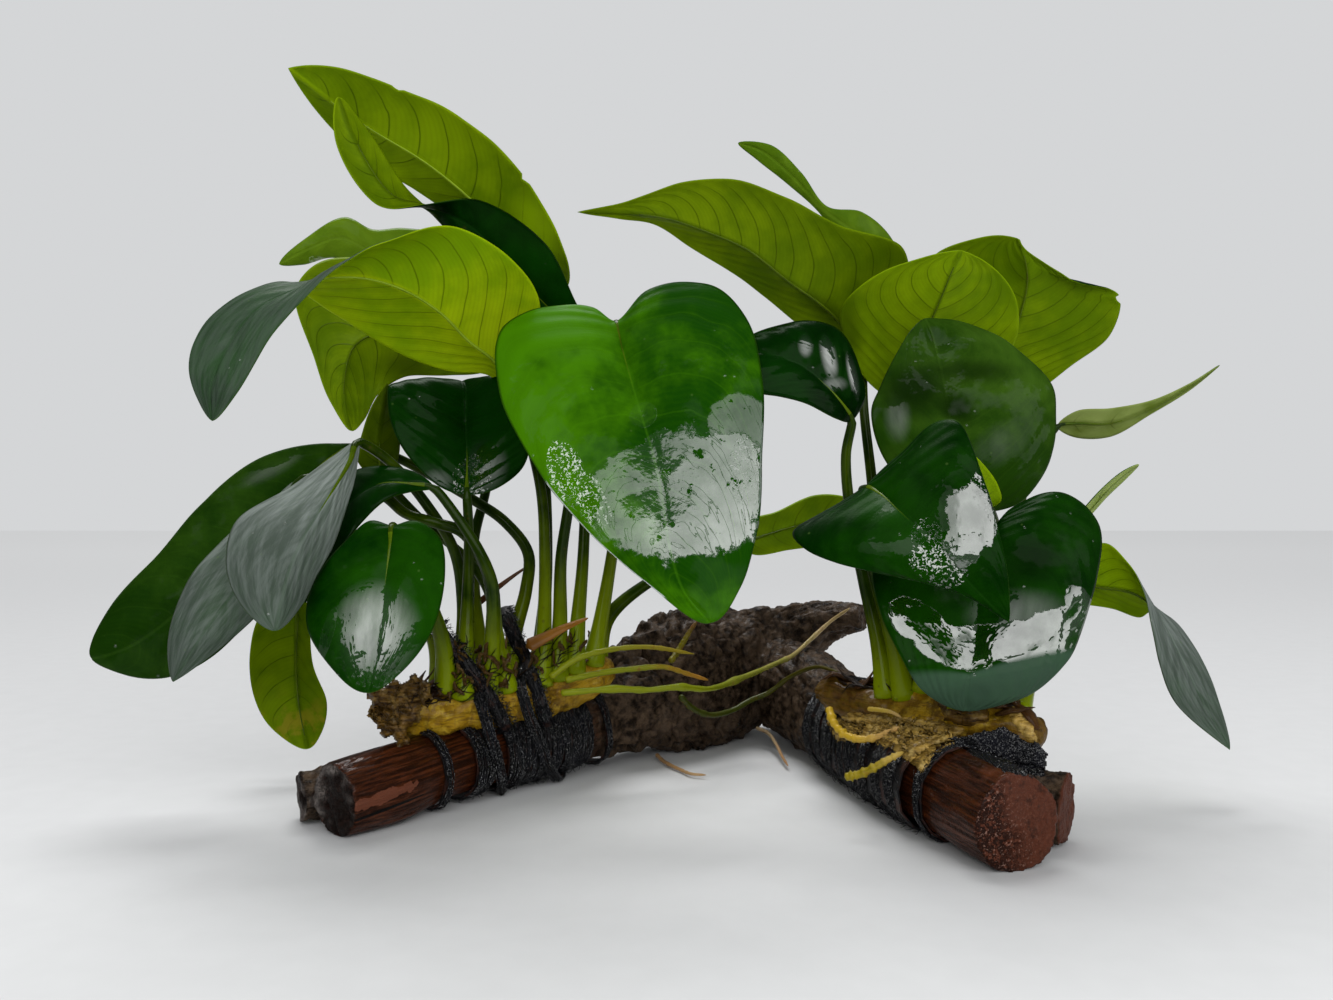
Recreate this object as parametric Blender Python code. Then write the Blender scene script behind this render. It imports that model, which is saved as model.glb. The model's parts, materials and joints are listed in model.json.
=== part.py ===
"""Anubias on driftwood: two anubias plants bound with black thread to a forked piece of driftwood."""

import math

import bmesh
import bpy
from mathutils import Matrix, Vector, noise
from mathutils.bvhtree import BVHTree

# Driving dimensions, in metres
GAP = 0.0003
MIDRIB_THICKNESS = 0.0016
BLADE_THICKNESS = 0.0010
BLADE_BULGE = 0.07
STALK_FOOT_RADIUS = 0.0025
STALK_TOP_RADIUS = 0.0016
ROOT_RADIUS = 0.0012
FINE_ROOT_RADIUS = 0.0008
THREAD_LAYER = 0.0006
BARK_DEPTH = 0.10
RHIZOME_LUMPS = 0.10

# The eye that every place below is read from: x across, y away, z up from the floor
EYE = Vector((-0.0005, -0.3790, 0.1000))
FOCAL_PX = 1001.0
EYE_LEVEL_PX = (666.5, 515.0)

# Colours (red, green, blue), roughness
LEAF_TOP = ((0.020, 0.110, 0.015), 0.25)
LEAF_UNDER = ((0.230, 0.400, 0.030), 0.50)
WOOD = ((0.070, 0.030, 0.020), 0.60)
RHIZOME = ((0.420, 0.260, 0.060), 0.60)
ROOT = ((0.480, 0.460, 0.080), 0.50)
PALE_ROOT = ((0.550, 0.420, 0.240), 0.60)
DEAD_LEAF = ((0.250, 0.110, 0.040), 0.70)
THREAD = ((0.010, 0.012, 0.018), 0.70)


def seen(across, down, away):
    """The point at this photo pixel, away millimetres in front of the eye."""
    reach = away / 1000.0
    side = (across - EYE_LEVEL_PX[0]) * reach / FOCAL_PX
    rise = (EYE_LEVEL_PX[1] - down) * reach / FOCAL_PX
    return EYE + Vector((side, reach, rise))


def spot(side, away, height):
    """The point side millimetres right of the eye, away in front of it and height over the floor."""
    return Vector((EYE.x + side / 1000.0, EYE.y + away / 1000.0, height / 1000.0))


# Leaves. A row across a blade is (one margin, midrib, other margin), each a photo pixel and a distance
# from the eye in millimetres. A stalk runs from its foot on the rhizome to the blade's base, and a thin one
# has its own foot radius in metres.
TOP, UNDER = "top", "under"
LEAVES = {
    "left_high_leaf_outer": dict(
        plant="left",
        shows=UNDER,
        stalk=[(573, 684, 372), (578, 620, 375), (583, 560, 377), (585, 500, 379), (583, 400, 379)],
        base=(562, 292, 374),
        rows=[
            ((568, 262, 360), (535, 262, 366), (505, 285, 374)),
            ((528, 180, 348), (482, 208, 356), (455, 220, 366)),
            ((462, 117, 336), (425, 162, 345), (415, 190, 354)),
            ((392, 85, 328), (366, 126, 336), (366, 160, 345)),
            ((340, 68, 322), (325, 97, 327), (322, 118, 333)),
        ],
        tip=(288, 68, 320),
    ),
    "left_high_leaf_twisted": dict(
        plant="left",
        shows=TOP,
        stalk=[(557, 684, 368), (560, 620, 371), (561, 560, 371), (568, 510, 370), (582, 420, 367)],
        base=(592, 338, 362),
        rows=[
            ((575, 300, 352), (562, 320, 354), (545, 340, 356)),
            ((545, 243, 346), (520, 278, 345), (498, 302, 345)),
            ((480, 200, 341), (470, 226, 340), (462, 250, 340)),
            ((424, 205, 330), (426, 207, 338), (428, 210, 346)),
            ((378, 206, 323), (390, 194, 328), (403, 184, 334)),
            ((337, 147, 316), (353, 137, 320), (370, 133, 326)),
        ],
        tip=(338, 97, 318),
    ),
    "left_arching_leaf": dict(
        plant="left",
        shows=UNDER,
        stalk=[(541, 684, 364), (544, 630, 367), (545, 560, 368), (541, 490, 367), (526, 430, 366)],
        base=(509, 387, 366),
        rows=[
            ((536, 345, 348), (496, 362, 354), (485, 374, 358)),
            ((539, 300, 339), (468, 340, 344), (450, 371, 353)),
            ((514, 262, 328), (440, 312, 332), (405, 356, 343)),
            ((458, 228, 318), (405, 290, 321), (366, 334, 332)),
            ((400, 236, 306), (365, 277, 312), (328, 310, 322)),
            ((345, 262, 297), (322, 277, 304), (304, 293, 314)),
            ((308, 296, 290), (296, 290, 298), (283, 282, 306)),
            ((281, 325, 286), (258, 310, 292), (240, 294, 299)),
            ((256, 362, 283), (230, 345, 287), (200, 328, 292)),
            ((235, 396, 281), (212, 385, 283), (191, 372, 286)),
        ],
        tip=(212, 421, 281),
    ),
    "left_back_leaf_wavy": dict(
        plant="left",
        shows=TOP,
        stalk=[(537, 684, 373), (541, 640, 380), (547, 560, 388), (541, 440, 400), (515, 340, 410)],
        base=(470, 255, 420),
        rows=[
            ((440, 234, 417), (440, 250, 416), (445, 268, 420)),
            ((402, 228, 412), (402, 250, 410), (408, 274, 415)),
            ((372, 229, 407), (370, 250, 405), (372, 274, 410)),
            ((345, 217, 402), (342, 238, 401), (335, 258, 404)),
            ((307, 237, 397), (306, 250, 396), (303, 265, 398)),
        ],
        tip=(279, 264, 392),
    ),
    "left_broad_leaf_behind": dict(
        plant="left",
        shows=UNDER,
        stalk=[
            (483, 684, 360), (479, 640, 369), (474, 590, 380), (474, 540, 389), (486, 490, 397),
            (500, 410, 402),
        ],
        base=(490, 335, 396),
        rows=[
            ((462, 290, 394), (466, 322, 392), (490, 352, 393)),
            ((390, 262, 390), (430, 322, 386), (486, 371, 392)),
            ((325, 260, 382), (388, 330, 379), (448, 376, 389)),
            ((295, 290, 374), (356, 345, 372), (404, 378, 380)),
            ((314, 358, 365), (345, 376, 365), (378, 395, 370)),
            ((331, 403, 359), (345, 408, 358), (364, 420, 362)),
        ],
        tip=(351, 431, 356),
    ),
    "left_upright_dark_leaf": dict(
        plant="left",
        shows=TOP,
        stalk=[(463, 684, 346), (466, 640, 349), (468, 590, 351), (469, 540, 350)],
        base=(467, 495, 346),
        rows=[
            ((440, 487, 347), (467, 480, 349), (496, 489, 347)),
            ((405, 452, 348), (467, 455, 354), (523, 467, 349)),
            ((390, 420, 349), (466, 425, 361), (531, 436, 350)),
            ((388, 388, 353), (465, 384, 368), (528, 386, 353)),
            ((402, 392, 371), (456, 387, 379), (484, 394, 366)),
        ],
        tip=(458, 405, 394),
    ),
    "left_narrow_leaf": dict(
        plant="left",
        shows=UNDER,
        foot=0.0018,
        stalk=[(499, 684, 364), (497, 640, 368), (490, 595, 369), (468, 560, 370), (430, 528, 371)],
        base=(386, 482, 369),
        rows=[
            ((357, 460, 357), (379, 462, 362), (398, 460, 368)),
            ((362, 433, 357), (380, 434, 361), (400, 436, 367)),
            ((372, 405, 358), (384, 406, 360), (396, 408, 366)),
        ],
        tip=(387, 383, 362),
    ),
    "left_front_grey_leaf": dict(
        plant="left",
        shows=TOP,
        stalk=[
            (457, 684, 355), (463, 640, 361), (463, 600, 364), (455, 553, 363), (429, 508, 356),
            (390, 462, 346),
        ],
        base=(358, 442, 334),
        rows=[
            ((332, 457, 329), (350, 461, 327), (357, 468, 331)),
            ((288, 488, 321), (328, 498, 317), (351, 495, 325)),
            ((238, 521, 311), (305, 535, 309), (338, 533, 318)),
            ((227, 556, 305), (290, 568, 303), (318, 574, 310)),
            ((236, 598, 299), (281, 602, 298), (302, 606, 303)),
        ],
        tip=(275, 631, 295),
    ),
    "left_middle_grey_leaf": dict(
        plant="left",
        shows=TOP,
        stalk=[
            (505, 684, 356), (495, 630, 356), (492, 590, 356), (483, 560, 356), (462, 532, 355),
            (436, 523, 352), (405, 513, 354), (385, 497, 354), (340, 478, 350),
        ],
        base=(300, 480, 345),
        rows=[
            ((262, 508, 338), (280, 515, 336), (308, 520, 340)),
            ((221, 541, 330), (256, 560, 327), (300, 562, 331)),
            ((189, 580, 322), (230, 598, 319), (272, 600, 323)),
            ((170, 628, 316), (203, 635, 313), (240, 632, 316)),
            ((168, 662, 312), (187, 660, 311), (207, 659, 312)),
        ],
        tip=(173, 682, 310),
    ),
    "left_outer_dark_leaf": dict(
        plant="left",
        shows=TOP,
        stalk=[
            (510, 684, 367), (513, 640, 373), (526, 590, 377), (528, 553, 378), (505, 522, 378),
            (475, 501, 378), (430, 475, 378), (395, 457, 376),
        ],
        base=(358, 446, 367),
        rows=[
            ((320, 444, 357), (328, 460, 355), (340, 478, 359)),
            ((262, 456, 352), (288, 498, 349), (315, 540, 354)),
            ((201, 504, 347), (235, 552, 344), (268, 600, 349)),
            ((158, 555, 343), (185, 605, 339), (215, 655, 344)),
            ((113, 603, 339), (138, 642, 336), (165, 679, 340)),
            ((92, 640, 336), (104, 656, 335), (118, 673, 337)),
        ],
        tip=(91, 658, 335),
    ),
    "left_low_dark_leaf": dict(
        plant="left",
        shows=TOP,
        stalk=[(488, 684, 351), (493, 630, 347), (492, 585, 344), (481, 555, 342), (460, 521, 343)],
        base=(434, 488, 344),
        rows=[
            ((415, 472, 345), (414, 484, 342), (412, 492, 341)),
            ((375, 466, 343), (379, 484, 338), (387, 500, 335)),
            ((340, 478, 340), (350, 503, 333), (361, 524, 329)),
            ((312, 515, 336), (323, 540, 329), (337, 556, 324)),
            ((298, 562, 329), (306, 576, 324), (317, 583, 320)),
        ],
        tip=(305, 603, 315),
    ),
    "left_round_leaf": dict(
        plant="left",
        shows=TOP,
        stalk=[(446, 684, 345), (442, 640, 342), (424, 590, 336), (403, 548, 328)],
        base=(392, 526, 320),
        rows=[
            ((370, 520, 320), (390, 545, 315), (417, 521, 319)),
            ((338, 549, 316), (386, 575, 311), (440, 537, 315)),
            ((311, 586, 312), (382, 605, 307), (445, 577, 310)),
            ((307, 628, 308), (377, 640, 304), (432, 631, 306)),
            ((332, 670, 304), (372, 670, 302), (402, 672, 303)),
        ],
        tip=(368, 693, 301),
    ),
    "left_hanging_leaf": dict(
        plant="left",
        shows=UNDER,
        stalk=[(440, 684, 351), (434, 640, 366), (400, 580, 386), (340, 565, 394)],
        base=(300, 588, 394),
        rows=[
            ((262, 612, 388), (297, 628, 388), (309, 622, 391)),
            ((250, 652, 384), (296, 665, 384), (313, 665, 389)),
            ((254, 697, 380), (299, 705, 380), (327, 703, 385)),
            ((272, 729, 377), (304, 732, 377), (322, 732, 380)),
        ],
        tip=(308, 749, 376),
    ),
    "centre_heart_leaf": dict(
        plant="left",
        shows=TOP,
        stalk=[(592, 668, 379), (601, 620, 381), (612, 555, 382), (622, 480, 379), (624, 400, 366)],
        base=(616, 322, 343),
        rows=[
            ((590, 307, 340), (622, 348, 334), (650, 289, 340)),
            ((540, 307, 336), (631, 380, 327), (708, 283, 336)),
            ((503, 327, 331), (642, 418, 321), (746, 316, 330)),
            ((498, 388, 323), (654, 458, 315), (763, 378, 322)),
            ((525, 450, 315), (663, 505, 309), (763, 457, 314)),
            ((568, 511, 307), (670, 550, 303), (758, 530, 306)),
            ((640, 578, 300), (684, 592, 299), (740, 589, 300)),
        ],
        tip=(710, 623, 296),
    ),
    "centre_back_leaf": dict(
        plant="left",
        shows=UNDER,
        stalk=[(598, 652, 388), (608, 618, 390), (648, 583, 394), (700, 558, 396)],
        base=(735, 545, 397),
        rows=[
            ((750, 520, 397), (752, 540, 395), (755, 555, 393)),
            ((775, 512, 399), (784, 530, 396), (789, 550, 393)),
            ((815, 495, 401), (820, 520, 398), (825, 545, 395)),
            ((850, 498, 403), (853, 518, 400), (855, 538, 397)),
        ],
        tip=(882, 518, 402),
    ),
    "right_high_leaf_long": dict(
        plant="right",
        shows=UNDER,
        stalk=[(893, 694, 349), (890, 640, 358), (880, 560, 366), (871, 473, 374), (864, 410, 381)],
        base=(862, 355, 386),
        rows=[
            ((905, 300, 379), (850, 335, 380), (835, 348, 384)),
            ((903, 248, 368), (825, 308, 372), (800, 326, 378)),
            ((842, 226, 360), (788, 281, 365), (765, 297, 373)),
            ((786, 197, 353), (748, 250, 358), (728, 270, 366)),
            ((735, 179, 348), (705, 231, 353), (690, 247, 360)),
            ((682, 182, 345), (665, 218, 348), (656, 225, 353)),
            ((626, 202, 344), (621, 213, 346), (619, 219, 348)),
        ],
        tip=(577, 212, 345),
    ),
    "right_back_leaf_slender": dict(
        plant="right",
        shows=TOP,
        stalk=[(914, 694, 344), (912, 640, 360), (908, 540, 380), (906, 420, 396)],
        base=(906, 290, 408),
        rows=[
            ((893, 240, 402), (890, 265, 401), (882, 288, 404)),
            ((862, 212, 400), (855, 232, 399), (846, 252, 402)),
            ((827, 206, 396), (824, 210, 396), (820, 214, 398)),
            ((801, 172, 392), (793, 177, 393), (786, 183, 395)),
            ((771, 145, 389), (763, 152, 390), (757, 160, 391)),
        ],
        tip=(738, 143, 388),
    ),
    "right_high_round_leaf": dict(
        plant="right",
        shows=UNDER,
        stalk=[(925, 696, 331), (921, 650, 344), (912, 560, 364), (903, 470, 380)],
        base=(898, 400, 387),
        rows=[
            ((872, 386, 381), (905, 380, 379), (945, 397, 384)),
            ((850, 352, 373), (917, 350, 371), (990, 374, 378)),
            ((840, 313, 365), (930, 322, 363), (1014, 345, 371)),
            ((862, 285, 358), (942, 295, 357), (1018, 305, 364)),
            ((907, 262, 353), (952, 270, 352), (998, 271, 357)),
        ],
        tip=(961, 250, 350),
    ),
    "right_bitten_leaf": dict(
        plant="right",
        shows=UNDER,
        stalk=[(942, 696, 336), (948, 640, 357), (960, 560, 378), (978, 470, 395)],
        base=(985, 405, 402),
        rows=[
            ((955, 390, 398), (993, 385, 396), (1030, 395, 396)),
            ((925, 345, 394), (1008, 350, 390), (1071, 366, 390)),
            ((918, 298, 388), (1020, 315, 384), (1110, 335, 384)),
            ((934, 256, 382), (1027, 285, 379), (1119, 295, 380)),
            ((978, 238, 377), (1026, 264, 375), (1072, 281, 377)),
        ],
        tip=(1017, 238, 373),
    ),
    "right_small_glossy_leaf": dict(
        plant="right",
        shows=TOP,
        stalk=[(887, 696, 341), (878, 640, 344), (864, 580, 347), (850, 510, 347), (846, 455, 344)],
        base=(852, 421, 340),
        rows=[
            ((866, 397, 340), (843, 405, 336), (836, 419, 334)),
            ((857, 362, 341), (825, 385, 335), (806, 404, 331)),
            ((838, 330, 342), (802, 366, 334), (780, 397, 329)),
            ((805, 319, 342), (778, 357, 333), (757, 393, 328)),
            ((772, 326, 341), (755, 352, 333), (738, 384, 329)),
        ],
        tip=(728, 350, 336),
    ),
    "right_upright_dark_leaf": dict(
        plant="right",
        shows=TOP,
        stalk=[(960, 698, 332), (960, 650, 340), (966, 600, 343), (972, 545, 340)],
        base=(975, 512, 335),
        rows=[
            ((925, 500, 335), (968, 490, 333), (1020, 503, 335)),
            ((885, 461, 336), (960, 455, 333), (1050, 463, 337)),
            ((871, 412, 339), (950, 418, 336), (1056, 418, 341)),
            ((880, 386, 342), (945, 388, 340), (1053, 388, 344)),
            ((896, 354, 345), (938, 358, 345), (1027, 356, 347)),
            ((913, 327, 348), (932, 335, 348), (978, 326, 349)),
        ],
        tip=(925, 318, 349),
    ),
    "right_front_leaf": dict(
        plant="right",
        shows=TOP,
        stalk=[(905, 698, 336), (894, 645, 335), (876, 580, 331), (863, 520, 321)],
        base=(864, 488, 310),
        rows=[
            ((838, 505, 310), (880, 494, 302), (893, 461, 309)),
            ((793, 531, 305), (902, 514, 293), (936, 424, 303)),
            ((805, 549, 298), (930, 540, 287), (959, 422, 296)),
            ((861, 568, 291), (957, 570, 283), (981, 472, 289)),
            ((925, 581, 286), (980, 594, 281), (998, 530, 284)),
            ((973, 598, 283), (996, 610, 280), (1008, 588, 281)),
        ],
        tip=(1009, 622, 279),
    ),
    "right_low_round_leaf": dict(
        plant="right",
        shows=TOP,
        stalk=[(962, 700, 322), (968, 650, 328), (979, 590, 333), (987, 552, 329)],
        base=(987, 535, 323),
        rows=[
            ((955, 513, 324), (981, 555, 317), (1012, 507, 324)),
            ((905, 525, 321), (978, 582, 312), (1062, 493, 321)),
            ((873, 565, 316), (976, 612, 308), (1099, 523, 317)),
            ((880, 612, 310), (974, 642, 303), (1098, 577, 311)),
            ((900, 655, 304), (971, 668, 299), (1082, 632, 305)),
            ((920, 689, 300), (968, 680, 297), (1067, 664, 300)),
            ((940, 704, 301), (966, 697, 299), (1037, 693, 300)),
        ],
        tip=(966, 711, 302),
    ),
    "right_young_leaf": dict(
        plant="right",
        shows=UNDER,
        foot=0.0018,
        stalk=[(984, 703, 319), (988, 660, 330), (1003, 600, 338), (999, 550, 336), (994, 522, 328)],
        base=(989, 508, 318),
        rows=[
            ((974, 498, 314), (987, 498, 313), (1001, 501, 315)),
            ((966, 480, 312), (982, 481, 311), (998, 485, 312)),
            ((962, 463, 310), (973, 464, 309), (985, 466, 310)),
        ],
        tip=(965, 447, 309),
    ),
    "right_ribbon_leaf": dict(
        plant="right",
        shows=UNDER,
        foot=0.0018,
        stalk=[(996, 703, 325), (1002, 650, 343), (1011, 560, 358), (1030, 470, 367)],
        base=(1057, 426, 366),
        rows=[
            ((1076, 411, 363), (1075, 423, 364), (1073, 437, 367)),
            ((1112, 408, 359), (1111, 423, 360), (1110, 437, 363)),
            ((1152, 400, 355), (1151, 408, 356), (1150, 415, 358)),
            ((1190, 383, 352), (1191, 386, 353), (1192, 389, 354)),
        ],
        tip=(1220, 365, 350),
    ),
    "right_thin_leaf_far": dict(
        plant="right",
        shows=UNDER,
        foot=0.0017,
        stalk=[(1010, 706, 322), (1012, 650, 350), (1028, 590, 370)],
        base=(1055, 540, 382),
        rows=[
            ((1078, 515, 374), (1080, 519, 382), (1082, 524, 391)),
            ((1103, 488, 374), (1105, 492, 382), (1107, 497, 391)),
            ((1122, 472, 376), (1124, 475, 382), (1126, 479, 389)),
        ],
        tip=(1139, 465, 384),
    ),
    "right_drooping_leaf": dict(
        plant="right",
        shows=UNDER,
        foot=0.0020,
        stalk=[(1021, 710, 319), (1030, 680, 334), (1042, 640, 356)],
        base=(1058, 600, 376),
        rows=[
            ((1080, 552, 375), (1082, 586, 373), (1080, 604, 375)),
            ((1106, 543, 371), (1106, 588, 368), (1112, 609, 371)),
            ((1128, 563, 363), (1130, 592, 363), (1140, 618, 367)),
            ((1143, 592, 354), (1149, 603, 359), (1153, 612, 365)),
            ((1151, 625, 350), (1164, 627, 354), (1175, 622, 360)),
            ((1159, 665, 345), (1184, 667, 349), (1204, 664, 355)),
            ((1176, 704, 342), (1203, 705, 345), (1219, 702, 349)),
        ],
        tip=(1230, 750, 340),
    ),
}

LIMB_RING_POINTS = 14
# Driftwood limbs. A ring is (side, away, height, half width, half height), in millimetres from the eye.
LIMBS = {
    "driftwood_left_limb": [
        (-103.5, 311, 10.8, 10.8, 12.0),
        (-92.0, 326, 11.8, 12.0, 13.2),
        (-79.5, 343, 13.6, 12.0, 12.0),
        (-62.0, 366, 14.6, 12.5, 12.5),
        (-42.0, 388, 16.5, 14.0, 13.5),
        (-27.0, 402, 20.0, 16.0, 17.0),
        (-12.0, 415, 25.0, 19.0, 23.0),
    ],
    "driftwood_back_limb": [
        (-12.0, 415, 25.0, 19.0, 23.0),
        (3.0, 430, 27.5, 21.0, 31.0),
        (28.0, 456, 26.5, 19.0, 31.0),
        (52.0, 466, 39.0, 15.0, 19.0),
        (74.0, 460, 51.0, 10.0, 11.0),
        (89.0, 452, 54.0, 7.0, 6.0),
    ],
    "driftwood_right_limb": [
        (52.0, 458, 24.0, 17.0, 20.0),
        (61.0, 432, 22.0, 18.5, 21.5),
        (68.5, 402, 19.0, 17.0, 18.6),
        (75.0, 368, 16.0, 16.5, 15.5),
        (82.0, 338, 15.0, 15.5, 14.5),
        (89.5, 310, 14.0, 14.0, 13.8),
        (94.3, 294, 13.7, 13.7, 14.8),
        (98.5, 280, 13.4, 13.5, 14.6),
    ],
    "driftwood_left_foot": [
        (-93.0, 333, 9.0, 8.0, 8.4),
        (-107.0, 331, 8.8, 8.8, 8.8),
        (-119.0, 325, 8.4, 8.4, 8.4),
    ],
    "driftwood_right_foot": [
        (94.0, 322, 12.5, 10.0, 11.5),
        (110.0, 310, 12.0, 10.5, 12.0),
        (121.0, 302, 11.4, 9.0, 11.4),
    ],
}
SMOOTH_LIMBS = {"driftwood_left_limb": 0.45, "driftwood_right_limb": 0.35}
# How far each limb's underside stays over the floor, ring by ring, in millimetres
LIMB_CLEARANCE = {
    "driftwood_left_limb": [0, 0, 3.8, 4.2, 4.2, 4.0, 3.0],
    "driftwood_back_limb": [3.0, 0, 0, 0, 0, 0],
    "driftwood_right_limb": [0, 0, 1.6, 1.8, 1.8, 1.8, 0, 0],
}

# Rhizomes. A place is (side, away, height, radius), in millimetres from the eye.
RHIZOMES = {
    "left_rhizome": [
        (-99.0, 334, 34.5, 3.5),
        (-93.0, 338, 33.5, 6.5),
        (-84.5, 345, 31.8, 8.2),
        (-75.0, 349, 32.6, 8.6),
        (-66.0, 355, 32.0, 8.0),
        (-55.0, 363, 32.6, 8.4),
        (-44.0, 371, 33.2, 7.8),
        (-33.0, 379, 36.5, 8.0),
        (-25.5, 385, 41.0, 6.5),
        (-22.5, 388, 44.0, 3.0),
    ],
    "right_rhizome": [
        (55.5, 366, 36.0, 3.2),
        (60.0, 362, 35.5, 6.0),
        (69.0, 353, 33.5, 7.6),
        (79.0, 343, 32.5, 9.0),
        (88.0, 334, 32.5, 9.4),
        (98.0, 326, 32.0, 9.0),
        (107.0, 321, 31.0, 8.4),
        (115.0, 316, 29.5, 7.0),
        (117.5, 314, 27.5, 3.2),
    ],
}

# Roots and dead sheaths: photo pixel and distance from the eye in millimetres
ROOTS = {
    "left_root_upper": (ROOT_RADIUS, ROOT, [
        (551, 677, 359), (575, 660, 361), (603, 651, 364), (647, 647, 370), (694, 654, 376)]),
    "left_root_middle": (ROOT_RADIUS, ROOT, [
        (566, 680, 358), (600, 673, 362), (632, 669, 366), (664, 667, 370), (688, 674, 374),
        (708, 680, 377)]),
    "left_root_fork": (ROOT_RADIUS, ROOT, [
        (671, 661, 374), (678, 651, 379), (684, 641, 381), (690, 631, 383), (697, 621, 385)]),
    "left_root_long": (ROOT_RADIUS, ROOT, [
        (562, 693, 356), (614, 689, 360), (647, 690, 364), (679, 687, 368), (707, 689, 374),
        (744, 677, 394),
        (777, 663, 411), (792, 656, 419), (809, 641, 430), (831, 621, 436), (850, 608, 434)]),
    "dark_root_between": (ROOT_RADIUS, ROOT, [
        (681, 697, 384), (692, 708, 390), (710, 715, 396), (733, 710, 404), (751, 700, 408),
        (768, 693, 409),
        (790, 677, 406), (816, 667, 394), (838, 672, 380)]),
    "left_root_hanging": (FINE_ROOT_RADIUS, PALE_ROOT, [
        (657, 755, 409), (662, 760, 403), (670, 765, 395), (681, 770, 388), (692, 774, 381),
        (706, 775, 379)]),
    "middle_root_hanging": (FINE_ROOT_RADIUS, PALE_ROOT, [
        (757, 728, 432), (768, 733, 426), (776, 744, 415), (782, 756, 402), (788, 766, 391)]),
    "right_root_looping": (ROOT_RADIUS, ROOT, [
        (829, 709, 347), (834, 723, 342), (844, 734, 338), (858, 739, 334), (873, 738, 331),
        (887, 733, 328),
        (899, 727, 325)]),
    "right_root_low": (ROOT_RADIUS, ROOT, [
        (846, 777, 318), (860, 774, 317), (875, 767, 315), (889, 759, 314), (904, 752, 314)]),
    "right_root_short": (FINE_ROOT_RADIUS, PALE_ROOT, [
        (869, 709, 336), (880, 710, 332), (891, 712, 329), (901, 717, 326)]),
    "dead_sheath_front": (0.0020, DEAD_LEAF, [
        (588, 618, 360), (566, 627, 357), (546, 637, 356), (530, 645, 355)]),
    "dead_sheath_back": (0.0011, DEAD_LEAF, [
        (531, 564, 384), (512, 577, 383), (496, 589, 382), (478, 603, 384), (466, 611, 385)]),
}

# Binding thread. Stations along a limb are given as (side, away, height) of the middle of the turns.
WRAPS = {
    "left_wrap_outer": ("driftwood_left_limb", [(-83.0, 339, 13.5), (-81.2, 341, 13.6)]),
    "left_wrap_inner": ("driftwood_left_limb", [(-75.5, 348, 14.0), (-71.5, 354, 14.2)]),
    "left_wrap_wide": ("driftwood_left_limb", [(-66.0, 361, 14.5), (-53.0, 376, 15.3), (-39.0, 391, 17.0)]),
    "left_wrap_last": ("driftwood_left_limb", [(-34.5, 395, 18.2), (-32.5, 397, 18.8)]),
    "right_wrap_wide": ("driftwood_right_limb", [
        (70.0, 391, 17.0), (75.0, 368, 16.0), (81.0, 344, 15.2), (88.2, 314, 14.2)]),
    "right_wrap_last": ("driftwood_right_limb", [(89.3, 309.5, 14.0), (90.3, 306.3, 13.9)]),
}
# Bands over a rhizome: its stem and limb, middle, the way it faces, and its width in millimetres
TIES = {
    "left_tie_outer": ("left_rhizome", "driftwood_left_limb", (-64.2, 354.5, 22.0), (0.86, 0.36, 0.25), 2.0),
    "left_tie_inner": ("left_rhizome", "driftwood_left_limb", (-47.5, 372.0, 23.0), (0.92, 0.05, 0.30), 1.8),
}

PARTS = bpy.data.collections.new("anubias_on_driftwood")
CUTTERS = bpy.data.collections.new("cutters")


def clear_scene():
    """Removes whatever the scene held."""
    for old in list(bpy.data.objects):
        bpy.data.objects.remove(old)


def material(name, colour, roughness):
    """A plain Principled material, made once for each name."""
    made = bpy.data.materials.get(name)
    if made is None:
        made = bpy.data.materials.new(name)
        made.use_nodes = True
        shader = made.node_tree.nodes["Principled BSDF"]
        shader.inputs["Base Color"].default_value = (*colour, 1.0)
        shader.inputs["Roughness"].default_value = roughness
        made.diffuse_color = (*colour, 1.0)
    return made


def add_mesh(name, rings_mesh, look, collection=None):
    """Puts a bmesh in the scene as a named object with its own material."""
    bmesh.ops.recalc_face_normals(rings_mesh, faces=rings_mesh.faces)
    mesh = bpy.data.meshes.new(name)
    rings_mesh.to_mesh(mesh)
    rings_mesh.free()
    mesh.shade_smooth()
    mesh.materials.append(material(name, *look))
    made = bpy.data.objects.new(name, mesh)
    (collection or PARTS).objects.link(made)
    return made


def tree_of(objects):
    """One search tree over the evaluated meshes of these objects."""
    graph = bpy.context.evaluated_depsgraph_get()
    points, faces = [], []
    for each in objects:
        mesh = each.evaluated_get(graph).to_mesh()
        start = len(points)
        points += [each.matrix_world @ v.co for v in mesh.vertices]
        faces += [[start + i for i in p.vertices] for p in mesh.polygons]
    return BVHTree.FromPolygons(points, faces)


def lofted(rings, start_point=None, end_point=None):
    """A closed loft through rings of points. An end is a point to close on, or a flat cap."""
    shape = bmesh.new()
    loops = [[shape.verts.new(p) for p in ring] for ring in rings]
    count = len(loops[0])
    for low, high in zip(loops, loops[1:]):
        for i in range(count):
            j = (i + 1) % count
            shape.faces.new((low[i], low[j], high[j], high[i]))
    for loop, point in ((loops[0], start_point), (loops[-1], end_point)):
        if point is None:
            shape.faces.new(loop)
            continue
        hub = shape.verts.new(point)
        for i in range(count):
            shape.faces.new((loop[i], loop[(i + 1) % count], hub))
    return shape


# Leaves


def turned_rows(spec):
    """The blade's rows as points, with margins ordered so that across x along points out of the top."""
    rows = [tuple(seen(*p) for p in row) for row in spec["rows"]]
    facing = 0.0
    for here, ahead in zip(rows[:3], rows[1:4]):
        normal = (here[2] - here[0]).cross(ahead[1] - here[1])
        facing += normal.dot(EYE - here[1])
    wanted = 1.0 if spec["shows"] == TOP else -1.0
    if facing * wanted < 0.0:
        rows = [(row[2], row[1], row[0]) for row in rows]
    return rows


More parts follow.
